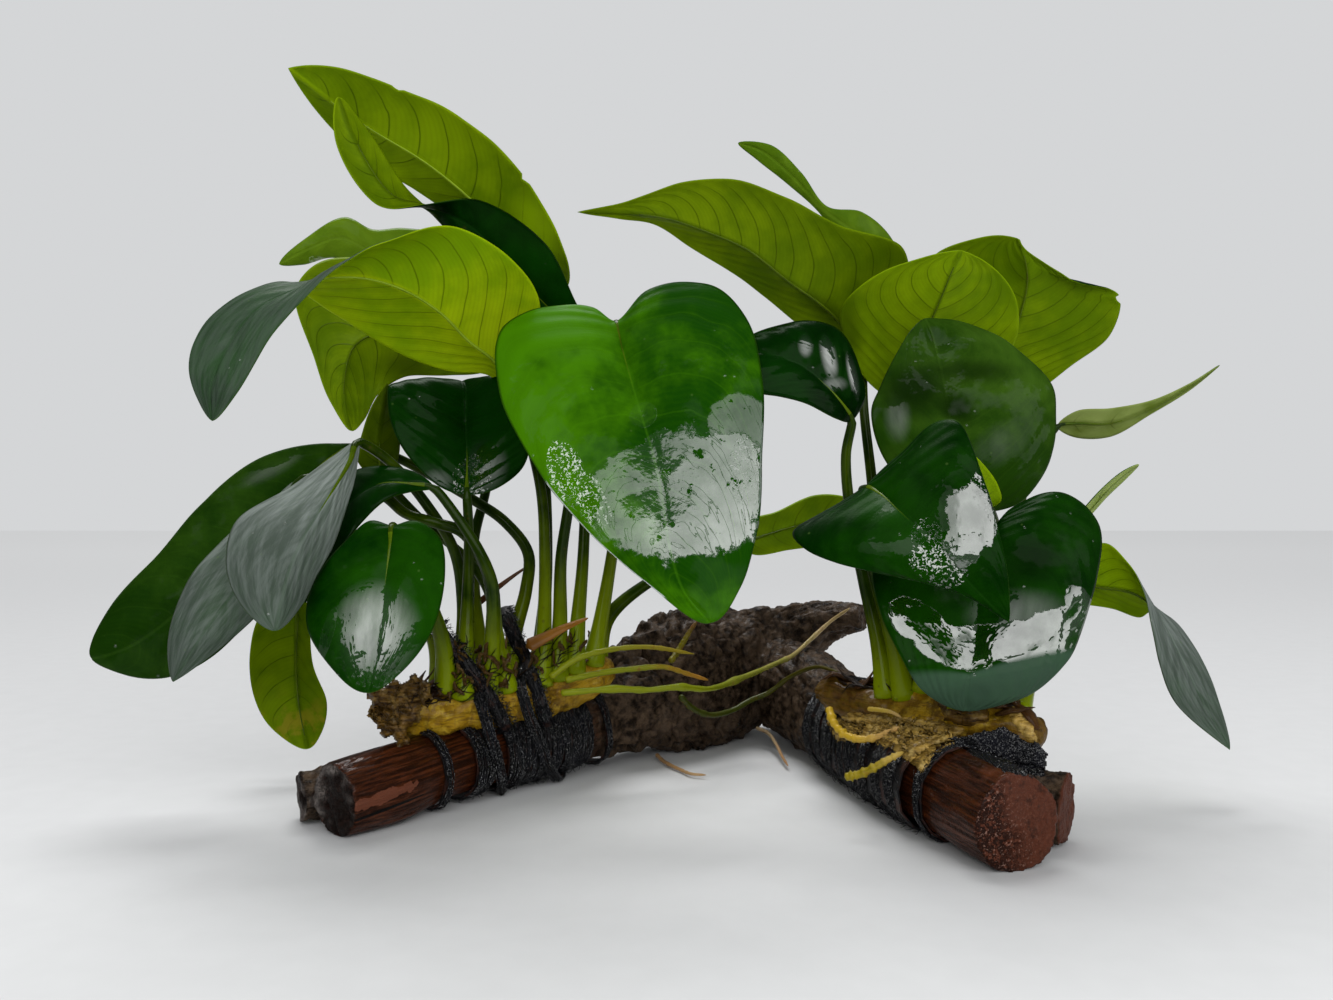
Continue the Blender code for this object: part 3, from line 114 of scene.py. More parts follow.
# Leaves: plant, side that shows, stalk radius at its foot, blade's base, tip, stalk from the rhizome to the
# base, and rows across the blade, each one margin, midrib and other margin. A place is a pixel of the
# photograph across and down, and a distance from the eye in millimetres.
LEAVES = {
    "left_high_leaf_outer": ("left", UNDER, STALK_FOOT_RADIUS, (562, 292, 374), (288, 68, 320),
        [573, 684, 372, 578, 620, 375, 583, 560, 377, 585, 500, 379, 583, 400, 379],
        [568, 262, 360, 535, 262, 366, 505, 285, 374, 528, 180, 348, 482, 208, 356, 455, 220, 366,
         462, 117, 336, 425, 162, 345, 415, 190, 354, 392, 85, 328, 366, 126, 336, 366, 160, 345,
         340, 68, 322, 325, 97, 327, 322, 118, 333]),
    "left_high_leaf_twisted": ("left", TOP, STALK_FOOT_RADIUS, (592, 338, 362), (338, 97, 318),
        [557, 684, 368, 560, 620, 371, 561, 560, 371, 568, 510, 370, 582, 420, 367],
        [575, 300, 352, 562, 320, 354, 545, 340, 356, 545, 243, 346, 520, 278, 345, 498, 302, 345,
         480, 200, 341, 470, 226, 340, 462, 250, 340, 424, 205, 330, 426, 207, 338, 428, 210, 346,
         378, 206, 323, 390, 194, 328, 403, 184, 334, 337, 147, 316, 353, 137, 320, 370, 133, 326]),
    "left_arching_leaf": ("left", UNDER, STALK_FOOT_RADIUS, (509, 387, 366), (212, 421, 281),
        [541, 684, 364, 544, 630, 367, 545, 560, 368, 541, 490, 367, 526, 430, 366],
        [536, 345, 348, 496, 362, 354, 485, 374, 358, 539, 300, 339, 468, 340, 344, 450, 371, 353,
         514, 262, 328, 440, 312, 332, 405, 356, 343, 458, 228, 318, 405, 290, 321, 366, 334, 332,
         400, 236, 306, 365, 277, 312, 328, 310, 322, 345, 262, 297, 322, 277, 304, 304, 293, 314,
         308, 296, 290, 296, 290, 298, 283, 282, 306, 281, 325, 286, 258, 310, 292, 240, 294, 299,
         256, 362, 283, 230, 345, 287, 200, 328, 292, 235, 396, 281, 212, 385, 283, 191, 372, 286]),
    "left_back_leaf_wavy": ("left", TOP, STALK_FOOT_RADIUS, (470, 255, 420), (279, 264, 392),
        [537, 684, 373, 541, 640, 380, 547, 560, 388, 541, 440, 400, 515, 340, 410],
        [440, 234, 417, 440, 250, 416, 445, 268, 420, 402, 228, 412, 402, 250, 410, 408, 274, 415,
         372, 229, 407, 370, 250, 405, 372, 274, 410, 345, 217, 402, 342, 238, 401, 335, 258, 404,
         307, 237, 397, 306, 250, 396, 303, 265, 398]),
    "left_broad_leaf_behind": ("left", UNDER, STALK_FOOT_RADIUS, (490, 335, 396), (351, 431, 356),
        [483, 684, 360, 479, 640, 369, 474, 590, 380, 474, 540, 389, 486, 490, 397, 500, 410, 402],
        [462, 290, 394, 466, 322, 392, 490, 352, 393, 390, 262, 390, 430, 322, 386, 486, 371, 392,
         325, 260, 382, 388, 330, 379, 448, 376, 389, 295, 290, 374, 356, 345, 372, 404, 378, 380,
         314, 358, 365, 345, 376, 365, 378, 395, 370, 331, 403, 359, 345, 408, 358, 364, 420, 362]),
    "left_upright_dark_leaf": ("left", TOP, STALK_FOOT_RADIUS, (467, 495, 346), (458, 405, 394),
        [463, 684, 346, 466, 640, 349, 468, 590, 351, 469, 540, 350],
        [440, 487, 347, 467, 480, 349, 496, 489, 347, 405, 452, 348, 467, 455, 354, 523, 467, 349,
         390, 420, 349, 466, 425, 361, 531, 436, 350, 388, 388, 353, 465, 384, 368, 528, 386, 353,
         402, 392, 371, 456, 387, 379, 484, 394, 366]),
    "left_narrow_leaf": ("left", UNDER, 0.0018, (386, 482, 369), (387, 383, 362),
        [499, 684, 364, 497, 640, 368, 490, 595, 369, 468, 560, 370, 430, 528, 371],
        [357, 460, 357, 379, 462, 362, 398, 460, 368, 362, 433, 357, 380, 434, 361, 400, 436, 367,
         372, 405, 358, 384, 406, 360, 396, 408, 366]),
    "left_front_grey_leaf": ("left", TOP, STALK_FOOT_RADIUS, (358, 442, 334), (275, 631, 295),
        [457, 684, 355, 463, 640, 361, 463, 600, 364, 455, 553, 363, 429, 508, 356, 390, 462, 346],
        [332, 457, 329, 350, 461, 327, 357, 468, 331, 288, 488, 321, 328, 498, 317, 351, 495, 325,
         238, 521, 311, 305, 535, 309, 338, 533, 318, 227, 556, 305, 290, 568, 303, 318, 574, 310,
         236, 598, 299, 281, 602, 298, 302, 606, 303]),
    "left_middle_grey_leaf": ("left", TOP, STALK_FOOT_RADIUS, (300, 480, 345), (173, 682, 310),
        [505, 684, 356, 495, 630, 356, 492, 590, 356, 483, 560, 356, 462, 532, 355, 436, 523, 352, 405,
         513, 354, 385, 497, 354, 340, 478, 350],
        [262, 508, 338, 280, 515, 336, 308, 520, 340, 221, 541, 330, 256, 560, 327, 300, 562, 331,
         189, 580, 322, 230, 598, 319, 272, 600, 323, 170, 628, 316, 203, 635, 313, 240, 632, 316,
         168, 662, 312, 187, 660, 311, 207, 659, 312]),
    "left_outer_dark_leaf": ("left", TOP, STALK_FOOT_RADIUS, (358, 446, 367), (91, 658, 335),
        [510, 684, 367, 513, 640, 373, 526, 590, 377, 528, 553, 378, 505, 522, 378, 475, 501, 378, 430,
         475, 378, 395, 457, 376],
        [320, 444, 357, 328, 460, 355, 340, 478, 359, 262, 456, 352, 288, 498, 349, 315, 540, 354,
         201, 504, 347, 235, 552, 344, 268, 600, 349, 158, 555, 343, 185, 605, 339, 215, 655, 344,
         113, 603, 339, 138, 642, 336, 165, 679, 340, 92, 640, 336, 104, 656, 335, 118, 673, 337]),
    "left_low_dark_leaf": ("left", TOP, STALK_FOOT_RADIUS, (434, 488, 344), (305, 603, 315),
        [488, 684, 351, 493, 630, 347, 492, 585, 344, 481, 555, 342, 460, 521, 343],
        [415, 472, 345, 414, 484, 342, 412, 492, 341, 375, 466, 343, 379, 484, 338, 387, 500, 335,
         340, 478, 340, 350, 503, 333, 361, 524, 329, 312, 515, 336, 323, 540, 329, 337, 556, 324,
         298, 562, 329, 306, 576, 324, 317, 583, 320]),
    "left_round_leaf": ("left", TOP, STALK_FOOT_RADIUS, (392, 526, 320), (368, 693, 301),
        [446, 684, 345, 442, 640, 342, 424, 590, 336, 403, 548, 328],
        [370, 520, 320, 390, 545, 315, 417, 521, 319, 338, 549, 316, 386, 575, 311, 440, 537, 315,
         311, 586, 312, 382, 605, 307, 445, 577, 310, 307, 628, 308, 377, 640, 304, 432, 631, 306,
         332, 670, 304, 372, 670, 302, 402, 672, 303]),
    "left_hanging_leaf": ("left", UNDER, STALK_FOOT_RADIUS, (300, 588, 394), (308, 749, 376),
        [440, 684, 351, 434, 640, 366, 400, 580, 386, 340, 565, 394],
        [262, 612, 388, 297, 628, 388, 309, 622, 391, 250, 652, 384, 296, 665, 384, 313, 665, 389,
         254, 697, 380, 299, 705, 380, 327, 703, 385, 272, 729, 377, 304, 732, 377, 322, 732, 380]),
    "centre_heart_leaf": ("left", TOP, STALK_FOOT_RADIUS, (616, 322, 343), (710, 623, 296),
        [592, 668, 379, 601, 620, 381, 612, 555, 382, 622, 480, 379, 624, 400, 366],
        [590, 307, 340, 622, 348, 334, 650, 289, 340, 540, 307, 336, 631, 380, 327, 708, 283, 336,
         503, 327, 331, 642, 418, 321, 746, 316, 330, 498, 388, 323, 654, 458, 315, 763, 378, 322,
         525, 450, 315, 663, 505, 309, 763, 457, 314, 568, 511, 307, 670, 550, 303, 758, 530, 306,
         640, 578, 300, 684, 592, 299, 740, 589, 300]),
    "centre_back_leaf": ("left", UNDER, STALK_FOOT_RADIUS, (735, 545, 397), (882, 518, 402),
        [598, 652, 388, 608, 618, 390, 648, 583, 394, 700, 558, 396],
        [750, 520, 397, 752, 540, 395, 755, 555, 393, 775, 512, 399, 784, 530, 396, 789, 550, 393,
         815, 495, 401, 820, 520, 398, 825, 545, 395, 850, 498, 403, 853, 518, 400, 855, 538, 397]),
    "right_high_leaf_long": ("right", UNDER, STALK_FOOT_RADIUS, (862, 355, 386), (577, 212, 345),
        [893, 694, 349, 890, 640, 358, 880, 560, 366, 871, 473, 374, 864, 410, 381],
        [905, 300, 379, 850, 335, 380, 835, 348, 384, 903, 248, 368, 825, 308, 372, 800, 326, 378,
         842, 226, 360, 788, 281, 365, 765, 297, 373, 786, 197, 353, 748, 250, 358, 728, 270, 366,
         735, 179, 348, 705, 231, 353, 690, 247, 360, 682, 182, 345, 665, 218, 348, 656, 225, 353,
         626, 202, 344, 621, 213, 346, 619, 219, 348]),
    "right_back_leaf_slender": ("right", TOP, STALK_FOOT_RADIUS, (906, 290, 408), (738, 143, 388),
        [914, 694, 344, 912, 640, 360, 908, 540, 380, 906, 420, 396],
        [893, 240, 402, 890, 265, 401, 882, 288, 404, 862, 212, 400, 855, 232, 399, 846, 252, 402,
         827, 206, 396, 824, 210, 396, 820, 214, 398, 801, 172, 392, 793, 177, 393, 786, 183, 395,
         771, 145, 389, 763, 152, 390, 757, 160, 391]),
    "right_high_round_leaf": ("right", UNDER, STALK_FOOT_RADIUS, (898, 400, 387), (961, 250, 350),
        [925, 696, 331, 921, 650, 344, 912, 560, 364, 903, 470, 380],
        [872, 386, 381, 905, 380, 379, 945, 397, 384, 850, 352, 373, 917, 350, 371, 990, 374, 378,
         840, 313, 365, 930, 322, 363, 1014, 345, 371, 862, 285, 358, 942, 295, 357, 1018, 305, 364,
         907, 262, 353, 952, 270, 352, 998, 271, 357]),
    "right_bitten_leaf": ("right", UNDER, STALK_FOOT_RADIUS, (985, 405, 402), (1017, 238, 373),
        [942, 696, 336, 948, 640, 357, 960, 560, 378, 978, 470, 395],
        [955, 390, 398, 993, 385, 396, 1030, 395, 396, 925, 345, 394, 1008, 350, 390, 1071, 366, 390,
         918, 298, 388, 1020, 315, 384, 1110, 335, 384, 934, 256, 382, 1027, 285, 379, 1119, 295, 380,
         978, 238, 377, 1026, 264, 375, 1072, 281, 377]),
    "right_small_glossy_leaf": ("right", TOP, STALK_FOOT_RADIUS, (852, 421, 340), (728, 350, 336),
        [887, 696, 341, 878, 640, 344, 864, 580, 347, 850, 510, 347, 846, 455, 344],
        [866, 397, 340, 843, 405, 336, 836, 419, 334, 857, 362, 341, 825, 385, 335, 806, 404, 331,
         838, 330, 342, 802, 366, 334, 780, 397, 329, 805, 319, 342, 778, 357, 333, 757, 393, 328,
         772, 326, 341, 755, 352, 333, 738, 384, 329]),
    "right_upright_dark_leaf": ("right", TOP, STALK_FOOT_RADIUS, (975, 512, 335), (925, 318, 349),
        [960, 698, 332, 960, 650, 340, 966, 600, 343, 972, 545, 340],
        [925, 500, 335, 968, 490, 333, 1020, 503, 335, 885, 461, 336, 960, 455, 333, 1050, 463, 337,
         871, 412, 339, 950, 418, 336, 1056, 418, 341, 880, 386, 342, 945, 388, 340, 1053, 388, 344,
         896, 354, 345, 938, 358, 345, 1027, 356, 347, 913, 327, 348, 932, 335, 348, 978, 326, 349]),
    "right_front_leaf": ("right", TOP, STALK_FOOT_RADIUS, (864, 488, 310), (1009, 622, 279),
        [905, 698, 336, 894, 645, 335, 876, 580, 331, 863, 520, 321],
        [838, 505, 310, 880, 494, 302, 893, 461, 309, 793, 531, 305, 902, 514, 293, 936, 424, 303,
         805, 549, 298, 930, 540, 287, 959, 422, 296, 861, 568, 291, 957, 570, 283, 981, 472, 289,
         925, 581, 286, 980, 594, 281, 998, 530, 284, 973, 598, 283, 996, 610, 280, 1008, 588, 281]),
    "right_low_round_leaf": ("right", TOP, STALK_FOOT_RADIUS, (987, 535, 323), (966, 711, 302),
        [962, 700, 322, 968, 650, 328, 979, 590, 333, 987, 552, 329],
        [955, 513, 324, 981, 555, 317, 1012, 507, 324, 905, 525, 321, 978, 582, 312, 1062, 493, 321,
         873, 565, 316, 976, 612, 308, 1099, 523, 317, 880, 612, 310, 974, 642, 303, 1098, 577, 311,
         900, 655, 304, 971, 668, 299, 1082, 632, 305, 920, 689, 300, 968, 680, 297, 1067, 664, 300,
         940, 704, 301, 966, 697, 299, 1037, 693, 300]),
    "right_young_leaf": ("right", UNDER, 0.0018, (989, 508, 318), (965, 447, 309),
        [984, 703, 319, 988, 660, 330, 1003, 600, 338, 999, 550, 336, 994, 522, 328],
        [974, 498, 314, 987, 498, 313, 1001, 501, 315, 966, 480, 312, 982, 481, 311, 998, 485, 312,
         962, 463, 310, 973, 464, 309, 985, 466, 310]),
    "right_ribbon_leaf": ("right", UNDER, 0.0018, (1057, 426, 366), (1220, 365, 350),
        [996, 703, 325, 1002, 650, 343, 1011, 560, 358, 1030, 470, 367],
        [1076, 411, 363, 1075, 423, 364, 1073, 437, 367, 1112, 408, 359, 1111, 423, 360, 1110, 437, 363,
         1152, 400, 355, 1151, 408, 356, 1150, 415, 358, 1190, 383, 352, 1191, 386, 353, 1192, 389, 354]),
    "right_thin_leaf_far": ("right", UNDER, 0.0017, (1055, 540, 382), (1139, 465, 384),
        [1010, 706, 322, 1012, 650, 350, 1028, 590, 370],
        [1078, 515, 374, 1080, 519, 382, 1082, 524, 391, 1103, 488, 374, 1105, 492, 382, 1107, 497, 391,
         1122, 472, 376, 1124, 475, 382, 1126, 479, 389]),
    "right_drooping_leaf": ("right", UNDER, 0.002, (1058, 600, 376), (1230, 750, 340),
        [1021, 710, 319, 1030, 680, 334, 1042, 640, 356],
        [1080, 552, 375, 1082, 586, 373, 1080, 604, 375, 1106, 543, 371, 1106, 588, 368, 1112, 609, 371,
         1128, 563, 363, 1130, 592, 363, 1140, 618, 367, 1143, 592, 354, 1149, 603, 359, 1153, 612, 365,
         1151, 625, 350, 1164, 627, 354, 1175, 622, 360, 1159, 665, 345, 1184, 667, 349, 1204, 664, 355,
         1176, 704, 342, 1203, 705, 345, 1219, 702, 349]),
}

# Driftwood limbs. A ring is (side, away, height, half width, half height), in millimetres from the eye.
LIMBS = {
    "driftwood_left_limb": [
        (-103.5, 311, 10.8, 10.8, 12.0),
        (-92.0, 326, 11.8, 12.0, 13.2),
        (-79.5, 343, 13.6, 12.0, 12.0),
        (-62.0, 366, 14.6, 12.5, 12.5),
        (-42.0, 388, 16.5, 14.0, 13.5),
        (-27.0, 402, 20.0, 16.0, 17.0),
        (-12.0, 415, 25.0, 19.0, 23.0),
    ],
    "driftwood_back_limb": [
        (-12.0, 415, 25.0, 19.0, 23.0),
        (3.0, 430, 27.5, 21.0, 31.0),
        (28.0, 456, 26.5, 19.0, 31.0),
        (52.0, 466, 39.0, 15.0, 19.0),
        (74.0, 460, 51.0, 10.0, 11.0),
        (89.0, 452, 54.0, 7.0, 6.0),
    ],
    "driftwood_right_limb": [
        (52.0, 458, 24.0, 17.0, 20.0),
        (61.0, 432, 22.0, 18.5, 21.5),
        (68.5, 402, 19.0, 17.0, 18.6),
        (75.0, 368, 16.0, 16.5, 15.5),
        (82.0, 338, 15.0, 15.5, 14.5),
        (89.5, 310, 14.0, 14.0, 13.8),
        (94.3, 294, 13.7, 13.7, 14.8),
        (98.5, 280, 13.4, 13.5, 14.6),
    ],
    "driftwood_left_foot": [
        (-93.0, 333, 9.0, 8.0, 8.4),
        (-107.0, 331, 8.8, 8.8, 8.8),
        (-119.0, 325, 8.4, 8.4, 8.4),
    ],
    "driftwood_right_foot": [
        (94.0, 322, 12.5, 10.0, 11.5),
        (110.0, 310, 12.0, 10.5, 12.0),
        (121.0, 302, 11.4, 9.0, 11.4),
    ],
}
SMOOTH_LIMBS = {"driftwood_left_limb": 0.45, "driftwood_right_limb": 0.35}
# How far each limb's underside stays over the floor, ring by ring, in millimetres
LIMB_CLEARANCE = {
    "driftwood_left_limb": [0, 0, 3.8, 4.2, 4.2, 4.0, 3.0],
    "driftwood_back_limb": [3.0, 0, 0, 0, 0, 0],
    "driftwood_right_limb": [0, 0, 1.6, 1.8, 1.8, 1.8, 0, 0],
}
CUT_ENDS = {
    ("driftwood_left_limb", 0),
    ("driftwood_right_limb", -1),
    ("driftwood_left_foot", -1),
    ("driftwood_right_foot", -1),
}

# Rhizomes. A place is (side, away, height, radius), in millimetres from the eye.
RHIZOMES = {
    "left_rhizome": [
        (-99.0, 334, 34.5, 3.5),
        (-93.0, 338, 33.5, 6.5),
        (-84.5, 345, 31.8, 8.2),
        (-75.0, 349, 32.6, 8.6),
        (-66.0, 355, 32.0, 8.0),
        (-55.0, 363, 32.6, 8.4),
        (-44.0, 371, 33.2, 7.8),
        (-33.0, 379, 36.5, 8.0),
        (-25.5, 385, 41.0, 6.5),
        (-22.5, 388, 44.0, 3.0),
    ],
    "right_rhizome": [
        (55.5, 366, 36.0, 3.2),
        (60.0, 362, 35.5, 6.0),
        (69.0, 353, 33.5, 7.6),
        (79.0, 343, 32.5, 9.0),
        (88.0, 334, 32.5, 9.4),
        (98.0, 326, 32.0, 9.0),
        (107.0, 321, 31.0, 8.4),
        (115.0, 316, 29.5, 7.0),
        (117.5, 314, 27.5, 3.2),
    ],
}
# Where each stem turns brown, in millimetres to the right
OLD_ENDS = {"left_rhizome": (-80.0, -92.0), "right_rhizome": (98.0, 112.0)}

# Roots and dead sheaths: photo pixel and distance from the eye in millimetres
ROOTS = {
    "left_root_upper": (ROOT_RADIUS, ROOT, [
        (551, 677, 359), (575, 660, 361), (603, 651, 364), (647, 647, 370), (694, 654, 376)]),
    "left_root_middle": (ROOT_RADIUS, ROOT, [
        (566, 680, 358), (600, 673, 362), (632, 669, 366), (664, 667, 370), (688, 674, 374),
        (708, 680, 377)]),
    "left_root_fork": (ROOT_RADIUS, ROOT, [
        (671, 661, 374), (678, 651, 379), (684, 641, 381), (690, 631, 383), (697, 621, 385)]),
    "left_root_long": (ROOT_RADIUS, ROOT, [
        (562, 693, 356), (614, 689, 360), (647, 690, 364), (679, 687, 368), (707, 689, 374), (744, 677, 394),
        (777, 663, 411), (792, 656, 419), (809, 641, 430), (831, 621, 436), (850, 608, 434)]),
    "dark_root_between": (ROOT_RADIUS, ROOT, [
        (681, 697, 384), (692, 708, 390), (710, 715, 396), (733, 710, 404), (751, 700, 408), (768, 693, 409),
        (790, 677, 406), (816, 667, 394), (838, 672, 380)]),
    "left_root_hanging": (FINE_ROOT_RADIUS, PALE_ROOT, [
        (657, 755, 409), (662, 760, 403), (670, 765, 395), (681, 770, 388), (692, 774, 381),
        (706, 775, 379)]),
    "middle_root_hanging": (FINE_ROOT_RADIUS, PALE_ROOT, [
        (757, 728, 432), (768, 733, 426), (776, 744, 415), (782, 756, 402), (788, 766, 391)]),
    "right_root_looping": (ROOT_RADIUS, ROOT, [
        (829, 709, 347), (834, 723, 342), (844, 734, 338), (858, 739, 334), (873, 738, 331), (887, 733, 328),
        (899, 727, 325)]),
    "right_root_low": (ROOT_RADIUS, ROOT, [
        (846, 777, 318), (860, 774, 317), (875, 767, 315), (889, 759, 314), (904, 752, 314)]),
    "right_root_short": (FINE_ROOT_RADIUS, PALE_ROOT, [
        (869, 709, 336), (880, 710, 332), (891, 712, 329), (901, 717, 326)]),
    "dead_sheath_front": (0.0020, DEAD_LEAF, [
        (588, 618, 360), (566, 627, 357), (546, 637, 356), (530, 645, 355)]),
    "dead_sheath_back": (0.0011, DEAD_LEAF, [
        (531, 564, 384), (512, 577, 383), (496, 589, 382), (478, 603, 384), (466, 611, 385)]),
}
# Each one's colour near the plant and at its tip, and how many brown flecks it has
ROOT_COLOURS = {
    "left_root_upper": ((0.190, 0.215, 0.004), (0.250, 0.190, 0.010), 0.5),
    "left_root_middle": ((0.180, 0.205, 0.004), (0.360, 0.170, 0.020), 0.6),
    "left_root_fork": ((0.130, 0.110, 0.004), (0.110, 0.060, 0.008), 0.7),
    "left_root_long": ((0.190, 0.220, 0.004), (0.420, 0.300, 0.130), 0.4),
    "dark_root_between": ((0.040, 0.050, 0.003), (0.060, 0.050, 0.004), 0.5),
    "left_root_hanging": ((0.330, 0.190, 0.080), (0.420, 0.270, 0.130), 0.4),
    "middle_root_hanging": ((0.360, 0.260, 0.150), (0.420, 0.230, 0.100), 0.4),
    "right_root_looping": ((0.500, 0.320, 0.022), (0.540, 0.330, 0.110), 0.4),
    "right_root_low": ((0.260, 0.200, 0.008), (0.420, 0.290, 0.060), 0.3),
    "right_root_short": ((0.420, 0.290, 0.040), (0.440, 0.290, 0.100), 0.4),
    "dead_sheath_front": ((0.230, 0.095, 0.010), (0.130, 0.050, 0.006), 0.8),
    "dead_sheath_back": ((0.100, 0.035, 0.010), (0.070, 0.025, 0.008), 0.8),
}

# Binding thread: each wrap's middle line, and how many loose strands cross it
WRAPS = {
    "left_wrap_outer": ([(-83.0, 339, 13.5), (-81.2, 341, 13.6)], 2),
    "left_wrap_inner": ([(-75.5, 348, 14.0), (-71.5, 354, 14.2)], 5),
    "left_wrap_wide": ([(-66.0, 361, 14.5), (-53.0, 376, 15.3), (-39.0, 391, 17.0)], 22),
    "left_wrap_last": ([(-34.5, 395, 18.2), (-32.5, 397, 18.8)], 3),
    "right_wrap_wide": ([(70.0, 391, 17.0), (75.0, 368, 16.0), (81.0, 344, 15.2), (88.2, 314, 14.2)], 26),
    "right_wrap_last": ([(89.3, 309.5, 14.0), (90.3, 306.3, 13.9)], 4),
}
# Bands over a rhizome: middle, the way it faces, and its width in millimetres
TIES = {
    "left_tie_outer": ((-64.2, 354.5, 22.0), (0.86, 0.36, 0.25), 3.8),
    "left_tie_inner": ((-47.5, 372.0, 23.0), (0.92, 0.05, 0.30), 3.6),
}

# Leaf colours, each one dark and one light
DARK = ((0.0006, 0.0130, 0.0002), (0.0050, 0.0400, 0.0005))
BLACKISH = ((0.0003, 0.0065, 0.0002), (0.0016, 0.0230, 0.0004))
OLIVE = ((0.0060, 0.0260, 0.0010), (0.0230, 0.0640, 0.0040))
SAGE = ((0.0100, 0.0360, 0.0014), (0.0380, 0.0920, 0.0060))
MOSS = ((0.0004, 0.0150, 0.0002), (0.0075, 0.0520, 0.0005))
MID = ((0.0050, 0.0440, 0.0003), (0.0520, 0.1850, 0.0008))
FRESH = ((0.0008, 0.0250, 0.0002), (0.0110, 0.0700, 0.0008))
YOUNG = ((0.0550, 0.1150, 0.0030), (0.1250, 0.2150, 0.0100))
PALE = ((0.125, 0.225, 0.0010), (0.250, 0.380, 0.0020))
SHADED = ((0.070, 0.130, 0.0010), (0.150, 0.230, 0.0020))
HAZY = ((0.170, 0.250, 0.0200), (0.380, 0.470, 0.1300))
